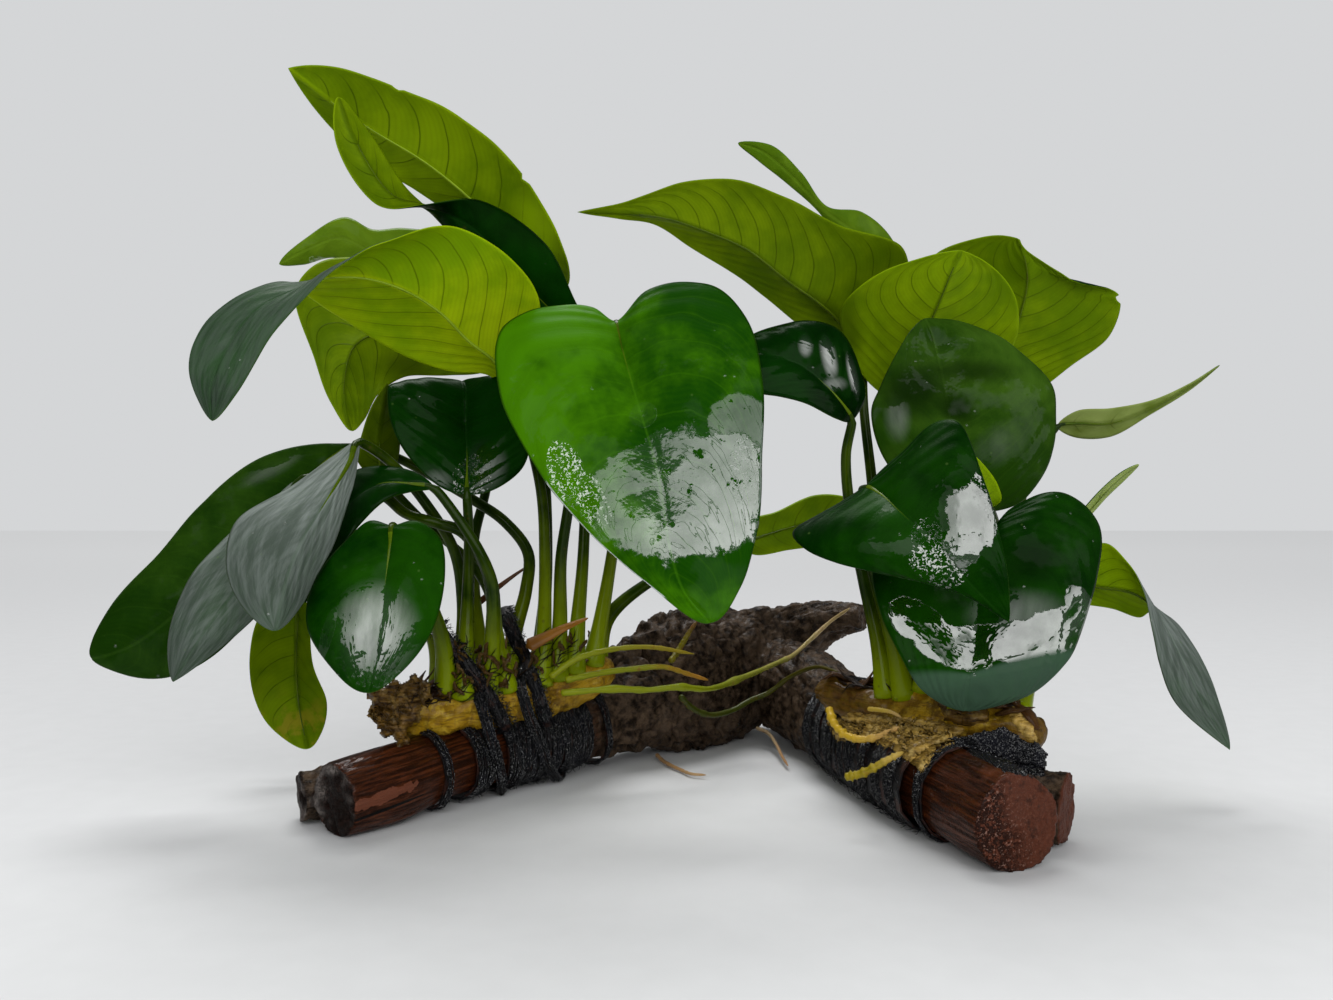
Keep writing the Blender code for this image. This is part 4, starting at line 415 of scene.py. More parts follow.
# How each blade looks, where it is not plain. Places are in millimetres. A patch is (x, z, half width,
# half height, turn in degrees, how much, how ragged).
# top, under: its colours, else DARK and SHADED; lift: how far the underside's colour is brightened, painted
# light for light shining through it; rib: how bright its midrib is
# veins, slope: how many side veins on each side and how far they slope; relief: how strongly it is quilted
# grey, rough, damp: how much grey sheen is painted into its colour, how rough when dry and how wet all over;
# round: how blunt its tip is
# bites: (along, side, depth, width); plain: out of focus, without its finest grain; painted_fold_sheen_from:
# how far along its tip is painted grey-green, a painted reflection for a folded tip, with no film beyond
# paler: pales from one x to the other; painted_shading, painted_light: patches of painted shade, darker, and
# of painted light, lighter
# film, sparks, wet_rim_painted_highlight: patches of water, of bright dots, and of a wet edge with a painted
# highlight in its colour; calm: least share of a film between its streaks; glare: where films grow brighter,
# from x, z to x, z, least and most
LOOKS = {
    "left_high_leaf_outer": dict(under=PALE, lift=1.25, veins=11, rib=1.25,
                                 painted_light=((-47, 201, 10, 17, 25, 0.7, 0.0),),
                                 bites=((0.37, -1, 0.0013, 0.01), (0.72, -1, 0.0011, 0.008))),
    "left_high_leaf_twisted": dict(top=BLACKISH, under=PALE, lift=1.25, veins=12, rough=0.3, damp=0.0,
                                   round=1.2),
    "left_arching_leaf": dict(under=PALE, lift=2.2, veins=15, rib=1.3, grey=0.45, rough=0.4, slope=0.7,
                              round=0.6),
    "left_back_leaf_wavy": dict(top=YOUNG, under=PALE, veins=8, round=0.5,
                                film=((-139, 201, 4, 2.5, 0, 0.8, 0.8),)),
    "left_broad_leaf_behind": dict(under=PALE, lift=1.15, veins=11, round=1.9,
                                   painted_shading=((-99, 157, 13, 10, 0, 0.75, 0.0),)),
    "left_upright_dark_leaf": dict(top=BLACKISH, veins=9, rough=0.34, relief=2.2,
                                   film=((-65, 117, 10, 11, 0, 0.24, 0.0), (-80, 112, 7, 5, 0, 0.16, 0.0)),
                                   sparks=((-68, 113, 7, 8, 0, 0.5, 1.0),)),
    "left_narrow_leaf": dict(top=FRESH, veins=6),
    "left_front_grey_leaf": dict(veins=9, grey=1.0, rough=0.46, slope=1.3, round=1.0),
    "left_middle_grey_leaf": dict(veins=11, grey=0.85, rough=0.4, slope=1.3, round=0.3),
    "left_outer_dark_leaf": dict(top=OLIVE, veins=10, rough=0.36, round=1.0,
                                 film=((-139, 116, 14, 4, 30, 0.1, 0.0),)),
    "left_low_dark_leaf": dict(top=BLACKISH, veins=8, rough=0.45, damp=0.02, round=0.5),
    "left_round_leaf": dict(top=MOSS, veins=7, rough=0.34, round=1.2,
                            film=((-89, 64, 15, 17, 10, 0.85, 0.0), (-84, 72, 5, 4, 0, 0.12, 0.9),
                                  (-104, 64, 2.0, 8, -14, 0.12, 0.5)),
                            sparks=((-86, 52, 9, 4, 0, 0.35, 1.0),)),
    "left_hanging_leaf": dict(under=PALE, lift=1.15, veins=8, round=1.2),
    "centre_heart_leaf": dict(top=MID, under=PALE, veins=9, rough=0.42, damp=0.012, round=1.9,
                              paler=(-48, 15), glare=(-14, 120, 26, 88, 0.32, 1.0),
                              film=((5.5, 107, 28.5, 20.5, 8, 1.0, 1.0), (23, 127, 11, 11, 20, 0.5, 0.9),
                                    (-8, 132, 4.5, 4, 40, 0.34, 0.6), (-6, 158, 22, 5, -20, 0.05, 0.0)),
                              sparks=((-31, 112, 6, 12, 25, 1.0, 0.8), (-24, 105, 5, 10, 30, 0.8, 1.0),
                                      (24, 112, 5, 12, 0, 0.8, 1.0)),
                              wet_rim_painted_highlight=((-20, 93, 26, 9, -48, 1.0, 0.6), (27, 118, 4, 16, 0, 0.35, 0.6))),
    "centre_back_leaf": dict(lift=2.6, veins=6),
    "right_high_leaf_long": dict(under=PALE, lift=0.95, veins=16, painted_shading=((58, 177, 14, 5, -30, 0.6, 0.0),)),
    "right_back_leaf_slender": dict(top=YOUNG, under=PALE, veins=8, plain=True, round=0.9,
                                    painted_light=((38, 231, 12, 8, -45, 0.35, 0.0),)),
    "right_high_round_leaf": dict(under=PALE, lift=1.4, veins=10, round=0.6,
                                  painted_shading=((66, 168, 8, 17, 15, 0.75, 0.0),)),
    "right_bitten_leaf": dict(under=PALE, lift=1.2, veins=10, round=0.6,
                              bites=((0.6, -1, 0.002, 0.015), (0.9, -1, 0.0052, 0.085),
                                     (0.77, -1, 0.0012, 0.014))),
    "right_small_glossy_leaf": dict(top=BLACKISH, veins=8, rough=0.26,
                                    film=((54, 153, 3.2, 9, 10, 0.95, 0.0),
                                          (62.5, 147, 2.2, 9, 10, 0.95, 0.0), (46, 157, 3, 5, 0, 0.7, 0.0),
                                          (56, 144, 5, 3, 0, 0.35, 0.0))),
    "right_upright_dark_leaf": dict(top=SAGE, veins=9, rough=0.46, damp=0.03, round=0.7,
                                    painted_shading=((83, 142, 17, 14, 10, 0.95, 0.0),
                                           (97, 136, 9, 8, -30, 0.95, 0.0),
                                           (104, 149, 20, 6, 0, 0.75, 0.0)),
                                    film=((77, 133, 5, 10, 0, 0.16, 0.0),
                                          (112, 124, 14, 8, 30, 0.07, 0.0))),
    "right_front_leaf": dict(veins=9, rough=0.34, calm=0.55,
                             film=((86.5, 99, 6.5, 10, 8, 1.0, 2.2), (83, 91, 5, 6, 0, 1.0, 1.8),
                                   (66, 96, 9, 7, 20, 0.06, 1.6), (76, 104, 7, 9, 20, 0.06, 1.6)),
                             sparks=((77, 86, 8, 6, -20, 1.0, 1.2), (74, 93, 4, 6, 0, 0.7, 1.2),
                                     (90, 106, 3, 6, 20, 0.9, 1.0))),
    "right_low_round_leaf": dict(veins=9, rough=0.34, round=1.2, painted_fold_sheen_from=0.79, calm=0.1,
                                 film=((76, 67, 9, 6, -30, 1.0, 0.9), (85, 60.5, 13, 6, -14, 1.0, 0.9),
                                       (101, 62, 17, 6, 3, 1.0, 0.9), (118, 65.5, 13, 6.5, 15, 1.0, 0.9),
                                       (127, 71, 5, 8, 30, 0.9, 0.9), (106, 70, 17, 8, 8, 0.26, 0.0)),
                                 painted_shading=((112, 86, 14, 9, 20, 0.7, 0.0), (88, 79, 12, 8, 0, 0.6, 0.0))),
    "right_young_leaf": dict(top=FRESH, under=PALE, lift=1.6, veins=5),
    "right_ribbon_leaf": dict(top=FRESH, under=HAZY, veins=5, plain=True, round=1.6,
                              painted_shading=((138, 129, 6, 4, 0, 0.25, 0.0),)),
    "right_thin_leaf_far": dict(top=FRESH, under=HAZY, lift=1.6, veins=3, plain=True, round=1.6),
    "right_drooping_leaf": dict(under=PALE, lift=1.5, veins=12, grey=0.95, rough=0.38, slope=1.2),
}

# Middle lines of the left ties, and outlines of gaps and torn skin, in pixels of the photograph
LEFT_TIES = (((437, 624), (446, 639), (461, 656), (477, 676), (489, 694), (499, 711), (508, 730)),
             ((504, 608), (510, 626), (518, 645), (527, 664), (534, 684), (540, 704), (547, 726)))
LEFT_GAPS = [(418, 660), (446, 642), (520, 640), (602, 632), (598, 664), (545, 680), (470, 694),
             (428, 704), (412, 690)]
RIGHT_APRON = [(826, 722), (850, 712), (885, 716), (912, 718), (945, 722), (968, 728), (955, 744),
               (938, 750), (927, 766), (921, 774), (912, 764), (896, 752), (880, 744), (858, 740),
               (838, 742)]
RIGHT_SHEATH = [(938, 704), (962, 700), (988, 708), (990, 722), (966, 727), (944, 720)]
RIGHT_STRAW = [(1006, 700), (1020, 704), (1031, 720), (1039, 742), (1029, 744), (1018, 730), (1007, 714)]
RIGHT_TANGLE = [(950, 738), (975, 734), (1004, 728), (1022, 738), (1040, 744), (1047, 758), (1046, 776),
                (1028, 778), (1006, 772), (986, 762), (966, 752)]
LEFT_SHEATH = [(366, 692), (374, 682), (384, 690), (392, 678), (402, 686), (412, 674), (428, 682),
               (432, 698), (419, 708), (420, 722), (408, 728), (410, 744), (398, 748), (392, 736),
               (384, 740), (378, 722), (368, 716), (372, 704)]
# Where torn skin spans a gap, its distance from the eye in millimetres
LEFT_BRIDGE = 331.0
RIGHT_BRIDGE = 309.0


# Materials, node by node


class Value:
    """A number or colour inside a material, so that sums are written with plain signs."""

    def __init__(self, look, socket):
        self.look, self.socket = look, socket

    def __add__(self, other):
        return self.look.math("ADD", self, other)

    def __sub__(self, other):
        return self.look.math("SUBTRACT", self, other)

    def __rsub__(self, other):
        return self.look.math("SUBTRACT", other, self)

    def __mul__(self, other):
        return self.look.math("MULTIPLY", self, other)

    def __pow__(self, other):
        return self.look.math("POWER", self, other)

    def __abs__(self):
        return self.look.math("ABSOLUTE", self)

    __radd__, __rmul__ = __add__, __mul__


class Look:
    """A material built node by node."""

    def __init__(self, name):
        self.material = bpy.data.materials.new(name)
        self.material.use_nodes = True
        self.tree = self.material.node_tree
        self.tree.nodes.clear()
        self.out = self.tree.nodes.new("ShaderNodeOutputMaterial")

    def put(self, socket, value):
        if isinstance(value, Value):
            self.tree.links.new(value.socket, socket)
        elif socket.type == "RGBA" and len(value) == 3:
            socket.default_value = (*value, 1.0)
        else:
            socket.default_value = value

    def make(self, kind, inputs=(), output=0, **settings):
        """One output of a new node that has these settings and inputs."""
        node = self.tree.nodes.new("ShaderNode" + kind)
        for key, value in settings.items():
            setattr(node, key, value)
        for key, value in dict(inputs).items():
            self.put(node.inputs[key], value)
        return Value(self, node.outputs[output])

    def math(self, operation, *values):
        return self.make("Math", enumerate(values), operation=operation)

    def larger(self, one, other):
        return self.math("MAXIMUM", one, other)

    def step(self, value, low, high, start=0.0, end=1.0):
        """Goes smoothly from start to end while the value goes from low to high."""
        values = enumerate((value, low, high, start, end))
        return self.make("MapRange", values, interpolation_type="SMOOTHSTEP")

    def place(self):
        return self.make("TexCoord", output="Object")

    def parts(self, vector):
        """The three numbers of a vector."""
        return [Value(self, each) for each in self.make("SeparateXYZ", {0: vector}).socket.node.outputs]

    def millimetres(self):
        """Where a point lies to the right and up, in millimetres."""
        right, _, up = self.parts(self.place())
        return right * 1000.0, up * 1000.0

    def uv(self, name):
        return self.parts(self.make("UVMap", uv_map=name))[:2]

    def vector(self, *values):
        return self.make("CombineXYZ", enumerate(values))

    def noise(self, vector, scale, detail=3.0, roughness=0.5, distortion=0.0):
        values = {"Vector": vector, "Scale": scale, "Detail": detail, "Roughness": roughness}
        return self.make("TexNoise", {**values, "Distortion": distortion})

    def cells(self, vector, scale):
        """Distance to the nearest cell's middle, in cells, and a random number for each cell."""
        near = self.make("TexVoronoi", {"Vector": vector, "Scale": scale}, "Distance")
        return near, self.parts(Value(self, near.socket.node.outputs["Color"]))[0]

    def mix(self, share, one, other):
        return self.make("Mix", {0: share, 6: one, 7: other}, 2, data_type="RGBA")

    def blend(self, share, one, other):
        """A number between two others."""
        return self.make("Mix", {0: share, 2: one, 3: other})

    def bump(self, height, distance, strength=1.0, normal=None):
        inputs = {"Strength": strength, "Distance": distance, "Height": height}
        return self.make("Bump", inputs if normal is None else {**inputs, "Normal": normal})

    def spot(self, right, up, patch, ragged):
        """One inside a tilted oval of the piece, none outside, its edge torn by the noise given."""
        x, z, wide, tall, turn, amount, rough = patch
        cosine, sine = math.cos(math.radians(turn)), math.sin(math.radians(turn))
        dx, dz = right - x, up - z
        one = dx * (cosine / wide) + dz * (sine / wide)
        two = dz * (cosine / tall) - dx * (sine / tall)
        away = self.math("SQRT", one ** 2.0 + two ** 2.0)
        if rough:
            return self.step(ragged * rough + away, 0.97, 1.03, amount, 0.0)
        return self.step(away, 0.15, 1.05, amount, 0.0)

    def shaded(self, colour, right, up, looks, dark, light):
        """Patches of painted shade, darker, and of painted light, lighter, on a leaf, with soft borders."""
        for kind, painted_shading in (("painted_shading", tint(dark, 0.35)), ("painted_light", tint(light, 1.6, 0.8))):
            for patch in looks.get(kind, ()):
                colour = self.mix(self.spot(right, up, patch, None), colour, painted_shading)
        return colour

    def shader(self, **values):
        return self.make("BsdfPrincipled", {name.replace("_", " "): each for name, each in values.items()})

    def glow_through(self, shader, colour, share):
        """Mixes in light that passes through a thin leaf."""
        return self.make("MixShader", {0: share, 1: shader, 2: self.make("BsdfTranslucent", {0: colour})})

    def done(self, shader):
        self.put(self.out.inputs[0], shader)
        return self.material


def tint(colour, factor, most=1e9, extra=0.0):
    """This colour times a factor, no part of it over the most."""
    return tuple(min(part * factor + extra, most) for part in colour)


# Meshes


def spline(points, steps):
    """Points on a smooth curve through all but the first and last of these."""
    points = [np.array(p, float) for p in points]
    knots = [0.0]
    for a, b in zip(points, points[1:]):
        knots.append(knots[-1] + max(float(np.linalg.norm(b - a)), 1e-6) ** 0.5)
    if isinstance(steps, int):
        steps = [steps] * (len(points) - 3)
    made = []
    for i, count in zip(range(1, len(points) - 2), steps):
        span = knots[i + 1] - knots[i]
        slopes = []
        for j in (i, i + 1):
            before = (points[j] - points[j - 1]) / (knots[j] - knots[j - 1])
            after = (points[j + 1] - points[j]) / (knots[j + 1] - knots[j])
            over = (points[j + 1] - points[j - 1]) / (knots[j + 1] - knots[j - 1])
            slopes.append((before - over + after) * span)
        for k in range(count):
            t = k / count
            made.append(
                (2 * t ** 3 - 3 * t ** 2 + 1) * points[i]
                + (t ** 3 - 2 * t ** 2 + t) * slopes[0]
                + (3 * t ** 2 - 2 * t ** 3) * points[i + 1]
                + (t ** 3 - t ** 2) * slopes[1]
            )
    made.append(points[-2])
    return np.array(made)


def through(points, steps):
    """A smooth curve through all of these points, its ends left straight."""
    points = [np.array(p, float) for p in points]
    return spline([2 * points[0] - points[1], *points, 2 * points[-1] - points[-2]], steps)


def unit(vectors):
    """Each of these vectors at length one."""
    return vectors / np.maximum(np.linalg.norm(vectors, axis=-1, keepdims=True), 1e-12)


def run(path):
    """How far along the path each of its points lies."""
    return np.concatenate([[0.0], np.cumsum(np.linalg.norm(np.diff(path, axis=0), axis=1))])


def ring_faces(rows, size):
    """The faces of a closed skin over rings that have size points each."""
    faces = []
    for i in range(rows - 1):
        for j in range(size):
            k = (j + 1) % size
            faces.append([i * size + j, i * size + k, (i + 1) * size + k, (i + 1) * size + j])
    return faces + [list(range(size))[::-1], [(rows - 1) * size + j for j in range(size)]]


def tube(path, radii, sides=12, flat=None, turn=None):
    """Points, faces and (length, angle) of a closed tube along a path. flat squashes it along its own up."""
    path = np.asarray(path, float)
    along = unit(np.gradient(path, axis=0))
    side = np.array(turn if turn is not None else (1.0, 0.0, 0.0), float)
    if abs(side @ along[0]) > 0.9:
        side = np.array((0.0, 0.0, 1.0))
    lengths = run(path)
    angles = np.arange(sides) * 2 * math.pi / sides
    points, where = [], []
    for i in range(len(path)):
        side = unit(side - along[i] * (side @ along[i]))
        up = np.cross(side, along[i])
        squash = 1.0 if flat is None else flat[i]
        across = np.outer(np.cos(angles), side) + squash * np.outer(np.sin(angles), up)
        points.append(path[i] + radii[i] * across)
        where.append(np.stack([np.full(sides, lengths[i]), angles / (2 * math.pi)], axis=1))
    faces = [[face[0], *face[:0:-1]] for face in ring_faces(len(path), sides)[:-2]]
    first = len(path) * sides
    low = first - sides
    tips = [path[0] - along[0] * radii[0] * 0.4, path[-1] + along[-1] * radii[-1] * 0.6]
    for j in range(sides):
        k = (j + 1) % sides
        faces += [[j, k, first], [low + k, low + j, first + 1]]
    return np.concatenate([*points, tips]), faces, np.concatenate([*where, [[0.0, 0.5], [lengths[-1], 0.5]]])


def placed(name, data):
    """A new object of the scene that shows this data."""
    made = bpy.data.objects.new(name, data)
    bpy.context.scene.collection.objects.link(made)
    return made


class Shape:
    """Collects points, faces, material numbers and two-number maps for one piece."""

    def __init__(self):
        self.points, self.faces, self.slots = [], [], []
        self.maps = {"vein": [], "size": [], "place": []}

    def add(self, points, faces, slot, vein=None, size=None, place=None):
        start = sum(len(p) for p in self.points)
        self.points.append(np.asarray(points, float))
        self.faces += [[start + i for i in face] for face in faces]
        self.slots += [slot] * len(faces)
        for name, values in (("vein", vein), ("size", size), ("place", place)):
            empty = np.zeros((len(points), 2))
            self.maps[name].append(empty if values is None else np.asarray(values, float))

    def add_tube(self, path, radii, sides=12, flat=None, turn=None, slot=0, rising=False):
        """Adds a closed tube. A rising one also keeps how far along its path each point is."""
        points, faces, where = tube(path, radii, sides, flat, turn)
        place = None
        if rising:
            share = np.concatenate([np.repeat(np.linspace(0, 1, len(path)), sides), [0.0, 1.0]])
            place = np.stack([share, where[:, 1]], axis=1)
        self.add(points, faces, slot, where, None, place)

    def finish(self, name, materials):
        mesh = bpy.data.meshes.new("looks_" + name)
        mesh.from_pydata(np.concatenate(self.points).tolist(), [], self.faces)
        loops = np.zeros(len(mesh.loops), np.int32)
        mesh.loops.foreach_get("vertex_index", loops)
        for key, values in self.maps.items():
            layer = mesh.uv_layers.new(name=key)
            layer.data.foreach_set("uv", np.concatenate(values)[loops].astype(np.float32).ravel())
        for each in materials:
            mesh.materials.append(each)
        mesh.polygons.foreach_set("material_index", np.array(self.slots, np.int32))
        mesh.shade_smooth()
        mesh.update()
        return placed("looks_" + name, mesh)


def hand_over(made, slot=None, *replaced):
    """Leaves the piece with the one body, in place of these nodes. The slot is not used."""
    if replaced:
        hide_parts(*replaced)
    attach(made, "root")
    return made


def mesh_tree(objects):
    """One search tree over the meshes of these objects."""
    points, faces = [], []
    for each in objects:
        start = len(points)
        points += [each.matrix_world @ v.co for v in each.data.vertices]
        faces += [[start + i for i in p.vertices] for p in each.data.polygons]
    return BVHTree.FromPolygons(points, faces)


# Leaf materials


def vein_lines(look, phase, veins, wobble):
    """How far each point is from the nearest side vein, in vein spacings, and the running phase."""
    running = phase * veins + wobble
    return (abs(look.math("FRACT", running) - 0.5), running)


def top_material(name, looks):
    """A dark leaf's upper face: mottled green, faint midrib, veins and edge, and patches of water; where
    asked, a painted grey sheen, painted shade and light, a painted reflection on a folded tip and a painted
    highlight along a wet rim.
    """
    look = Look(name)
    veins, relief = looks["veins"], looks.get("relief", 1.0)
    grey, rough = looks.get("grey", 0.0), looks.get("rough", 0.30)
    phase, across = look.uv("vein")
    edge, _ = look.uv("size")
    along, side = look.uv("place")
    place = look.place()
    right, up = look.millimetres()
    broad = look.noise(place, 22.0, 2.0)
    middle = look.noise(place, 95.0, 4.0, 0.6)
    small = look.noise(place, 900.0, 3.0, 0.6)
    wobble = (look.noise(place, 45.0, 2.0) - 0.5) * 0.9
    away, running = vein_lines(look, phase, float(veins), wobble)
    fine_away, fine_running = vein_lines(look, phase, veins * 6.0, wobble * 5.0)
    inner = look.step(edge, 0.0004, 0.0050)
    vein = look.step(away, 0.008, 0.045, 1.0, 0.0) * inner
    fine = look.step(fine_away, 0.05, 0.40, 1.0, 0.0)
    rib = look.step(abs(across), 0.0002, 0.00085, 1.0, 0.0)
    rim = look.step(edge, 0.00010, 0.00045, 1.0, 0.0)
    dark, light = looks.get("top", DARK)
    mottle = broad * 0.6 + middle * 0.4
    if "paler" in looks:
        start, end = looks["paler"]
        mottle = mottle + look.step(right, float(start), float(end), 0.2, -0.14)
    colour = look.mix(look.step(mottle, 0.38, 0.64), dark, light)
    colour = look.mix(look.step(away, 0.0, 0.5, 0.14, 0.0), colour, tint(dark, 0.45))
    colour = look.mix(vein * (0.12 * relief), colour, tint(light, 1.5, 0.5, 0.001))
    colour = look.mix(fine * 0.03, colour, tint(light, 1.5))
    # Painted sheen: streaky pale grey mixed into the colour, standing for bright light reflected off the
    # leaf.
    if grey:
        strand = look.noise(look.vector(side * 7.0, along * 2.6, broad * 4.0), 1.0, 5.0, 0.68)
        comb = look.noise(look.vector(phase * (veins * 1.5), side, broad), 1.0, 3.0, 0.6)
        strand = comb * 0.35 + strand * 0.65
        painted_sheen_mask = look.step(strand, 0.38, 0.64, 0.42, 1.0) * grey
        painted_sheen_mask = painted_sheen_mask * look.step(along, 0.2, 0.95, 1.0, 0.45)
        colour = look.mix(painted_sheen_mask, colour, (0.235, 0.265, 0.250))
    colour = look.mix(rib * 0.22, colour, tint(light, 1.3, 0.5, 0.004))
    colour = look.mix(rim * 0.5, colour, (0.045, 0.11, 0.01))
    # Painted shade and painted light in patches, where asked.
    colour = look.shaded(colour, right, up, looks, dark, light)
    # Painted reflection: past the fold line the tip's colour turns grey-green, and it carries no film.
    if "painted_fold_sheen_from" in looks:
        painted_fold_sheen_from = looks["painted_fold_sheen_from"]
        painted_fold_sheen = look.step(along, painted_fold_sheen_from - 0.01, painted_fold_sheen_from + 0.01)
        colour = look.mix(painted_fold_sheen * 0.6, colour, (0.06, 0.105, 0.075))
    near, pick = look.cells(place, 260.0)
    dots = look.step(near, 0.06, 0.15, 1.0, 0.0) * look.step(pick, 0.9, 0.93)
    colour = look.mix(dots * 0.25, colour, (0.1, 0.18, 0.04))
    stain = look.step(look.noise(place, 140.0, 2.0, 0.7), 0.74, 0.82)
    colour = look.mix(stain * 0.45, colour, (0.02, 0.022, 0.004))

    quilt = look.math("COSINE", running * (2 * math.pi)) * inner
    fine_quilt = look.math("COSINE", fine_running * (2 * math.pi)) * 0.03
    height = middle * 0.55 + (quilt * 0.45 + fine_quilt - rib * 0.8)
    if grey:
        height = strand * 2.0 + height
    skin = look.bump(height, 0.00014 * relief, 1.0)
    skin = look.bump(small, 0.00006, 0.8, skin)

    damp = looks.get("damp", 0.012)
    wet = look.step(look.noise(place, 55.0, 3.0, 0.6), 0.5, 0.58) * damp
    ragged = look.noise(place, 75.0, 6.0, 0.68) - 0.5
    film, soft = None, None
    for patch in looks.get("film", ()):
        each = look.spot(right, up, patch, ragged)
        if patch[6]:
            film = each if film is None else look.larger(film, each)
        else:
            soft = each if soft is None else look.larger(soft, each)
    if soft is not None:
        brushed = look.noise(look.vector(side * 5.0, along * 3.5, broad), 1.0, 3.0, 0.6)
        wet = look.larger(wet, soft * look.step(brushed, 0.33, 0.67, 0.55, 1.0))
    if film is not None:
        if "calm" in looks:
            brush = look.noise(look.vector(side * 3.0, along * 9.0, broad), 1.0, 3.0, 0.55)
            film = film * look.step(brush, 0.38, 0.56, looks["calm"], 1.0)
        else:
            holes = look.step(look.noise(place, 130.0, 4.0, 0.6), 0.335, 0.36)
            crease = look.noise(look.vector(phase * 9.0, side * 1.1, broad), 3.0, 2.0, 0.5) - 0.5
            film = film * holes * look.step(abs(crease), 0.003, 0.01, 0.62, 1.0)
        film = film * look.step(middle, 0.3, 0.7, 0.72, 1.0)
        if "glare" in looks:
            x0, z0, x1, z1, least, most = looks["glare"]
            size = (x1 - x0) ** 2 + (z1 - z0) ** 2
            share = (right - float(x0)) * ((x1 - x0) / size) + (up - float(z0)) * ((z1 - z0) / size)
            film = film * look.step(ragged * 0.8 + share, 0.0, 1.0, float(least), float(most))
        if "painted_fold_sheen_from" in looks:
            film = film * (1.0 - painted_fold_sheen)
        wet = look.larger(wet, film)
    squiggles = look.step(look.noise(place, 980.0, 2.0, 0.55, 1.0), 0.54, 0.57)
    for patch in looks.get("sparks", ()):
        wet = look.larger(wet, look.spot(right, up, patch, ragged) * squiggles)
    # Wet edges: a coat of water, and a painted highlight, near-white mixed into the colour along the rim.
    for patch in looks.get("wet_rim_painted_highlight", ()):
        each = look.spot(right, up, patch, ragged) * look.step(edge, 0.0007, 0.0011, 1.0, 0.0)
        wet = look.larger(wet, each)
        colour = look.mix(each * 0.75, colour, (0.62, 0.68, 0.66))
    bead, which = look.cells(place, 330.0)
    beads = look.step(bead, 0.08, 0.22, 1.0, 0.0) * look.step(which, 0.95, 0.96)
    wet = look.larger(wet, beads * 0.3)
    ripples = look.noise(place, 120.0, 3.0, 0.55)
    water = quilt * (0.05 * relief) + (ripples * 0.9 + wet * 0.8)
    surface = look.bump(water, 0.00045, 1.0)
    roughness = look.blend(wet, small * 0.1 + (rough - 0.05), 0.34)
    shader = look.shader(Base_Color=colour, Roughness=roughness, IOR=1.42, Normal=skin, Coat_Weight=wet,
                         Coat_Roughness=0.06, Coat_IOR=2.6, Coat_Normal=surface,
                         Specular_IOR_Level=0.06, Specular_Tint=(0.25, 0.85, 0.15))
    shader = look.glow_through(shader, tint(light, 3.0, 0.8), 0.1)
    return look.done(shader)


def under_material(name, looks, stains=0.0):
    """A leaf's underside: light green, lit through, with dark arched side veins and a raised midrib; its
    colours are brightened by its lift as painted light, with patches of painted shade and light where asked.
    """
    look = Look(name)
    veins, lift = looks["veins"], looks.get("lift", 1.0)
    # Painted light: the underside's colours are brightened by the leaf's lift, standing in for light shining
    # through it.
    dark, light = (tint(each, lift, 0.75) for each in looks.get("under", SHADED))
    phase, across = look.uv("vein")
    edge, _ = look.uv("size")
    along, _ = look.uv("place")
    place = look.place()
    broad = look.noise(place, 24.0, 2.0)
    middle = look.noise(place, 120.0, 4.0, 0.6)
    small = look.noise(place, 1100.0, 3.0, 0.6)
    wobble = (look.noise(place, 40.0, 2.0) - 0.5) * 0.6
    away, running = vein_lines(look, phase, float(veins), wobble)
    fine_away, _ = vein_lines(look, phase, veins * 5.0, wobble * 4.0)
    inner = look.step(edge, 0.0004, 0.0060)
    vein = look.step(away, 0.004, 0.034, 1.0, 0.0) * inner
    fine = look.step(fine_away, 0.05, 0.35, 1.0, 0.0)
    rib = look.step(abs(across), 0.0004, 0.0013, 1.0, 0.0)
    rim = look.step(edge, 0.00015, 0.0007, 1.0, 0.0)
    mottle = broad * 0.6 + middle * 0.4
    colour = look.mix(look.step(mottle, 0.36, 0.66), dark, light)
    colour = look.mix(look.step(away, 0.0, 0.45, 1.0, 0.0) * 0.12, colour, tint(dark, 0.55))
    colour = look.mix(vein * 0.72, colour, tint(dark, 0.3))
    colour = look.mix(fine * (0.0 if looks.get("plain") else 0.12), colour, tint(dark, 0.5))
    colour = look.mix(rib * look.step(along, 0.25, 0.75, 0.35, 0.6), colour,
                      tint(light if "rib" in looks else dark, looks.get("rib", 0.55), 0.9))
    colour = look.mix(rim * 0.5, colour, tint(light, 1.3))
    right, up = look.millimetres()
    # Painted shade and painted light in patches, where asked.
    colour = look.shaded(colour, right, up, looks, dark, light)
    if stains:
        near_tip = look.step(along, 0.62, 0.85)
        blot = look.step(look.noise(place, 150.0, 3.0, 0.6), 0.50, 0.62)
        colour = look.mix(blot * near_tip * stains, colour, (0.42, 0.36, 0.02))
    quilt = look.math("COSINE", running * (2 * math.pi)) * (inner * -0.25)
    height = middle * 0.5 + (vein * 0.5 + quilt)
    skin = look.bump(height, 0.00020, 0.4 if looks.get("plain") else 1.0)
    if not looks.get("plain"):
        skin = look.bump(small, 0.00005, 0.8, skin)
    roughness = middle * 0.16 + 0.32
    shader = look.shader(Base_Color=colour, Roughness=roughness, IOR=1.40, Normal=skin,
                         Specular_IOR_Level=0.12, Specular_Tint=(0.8, 1.0, 0.4))
    shader = look.glow_through(shader, look.mix(0.35, colour, tint(light, 1.8, 0.9)), 0.5)
    return look.done(shader)


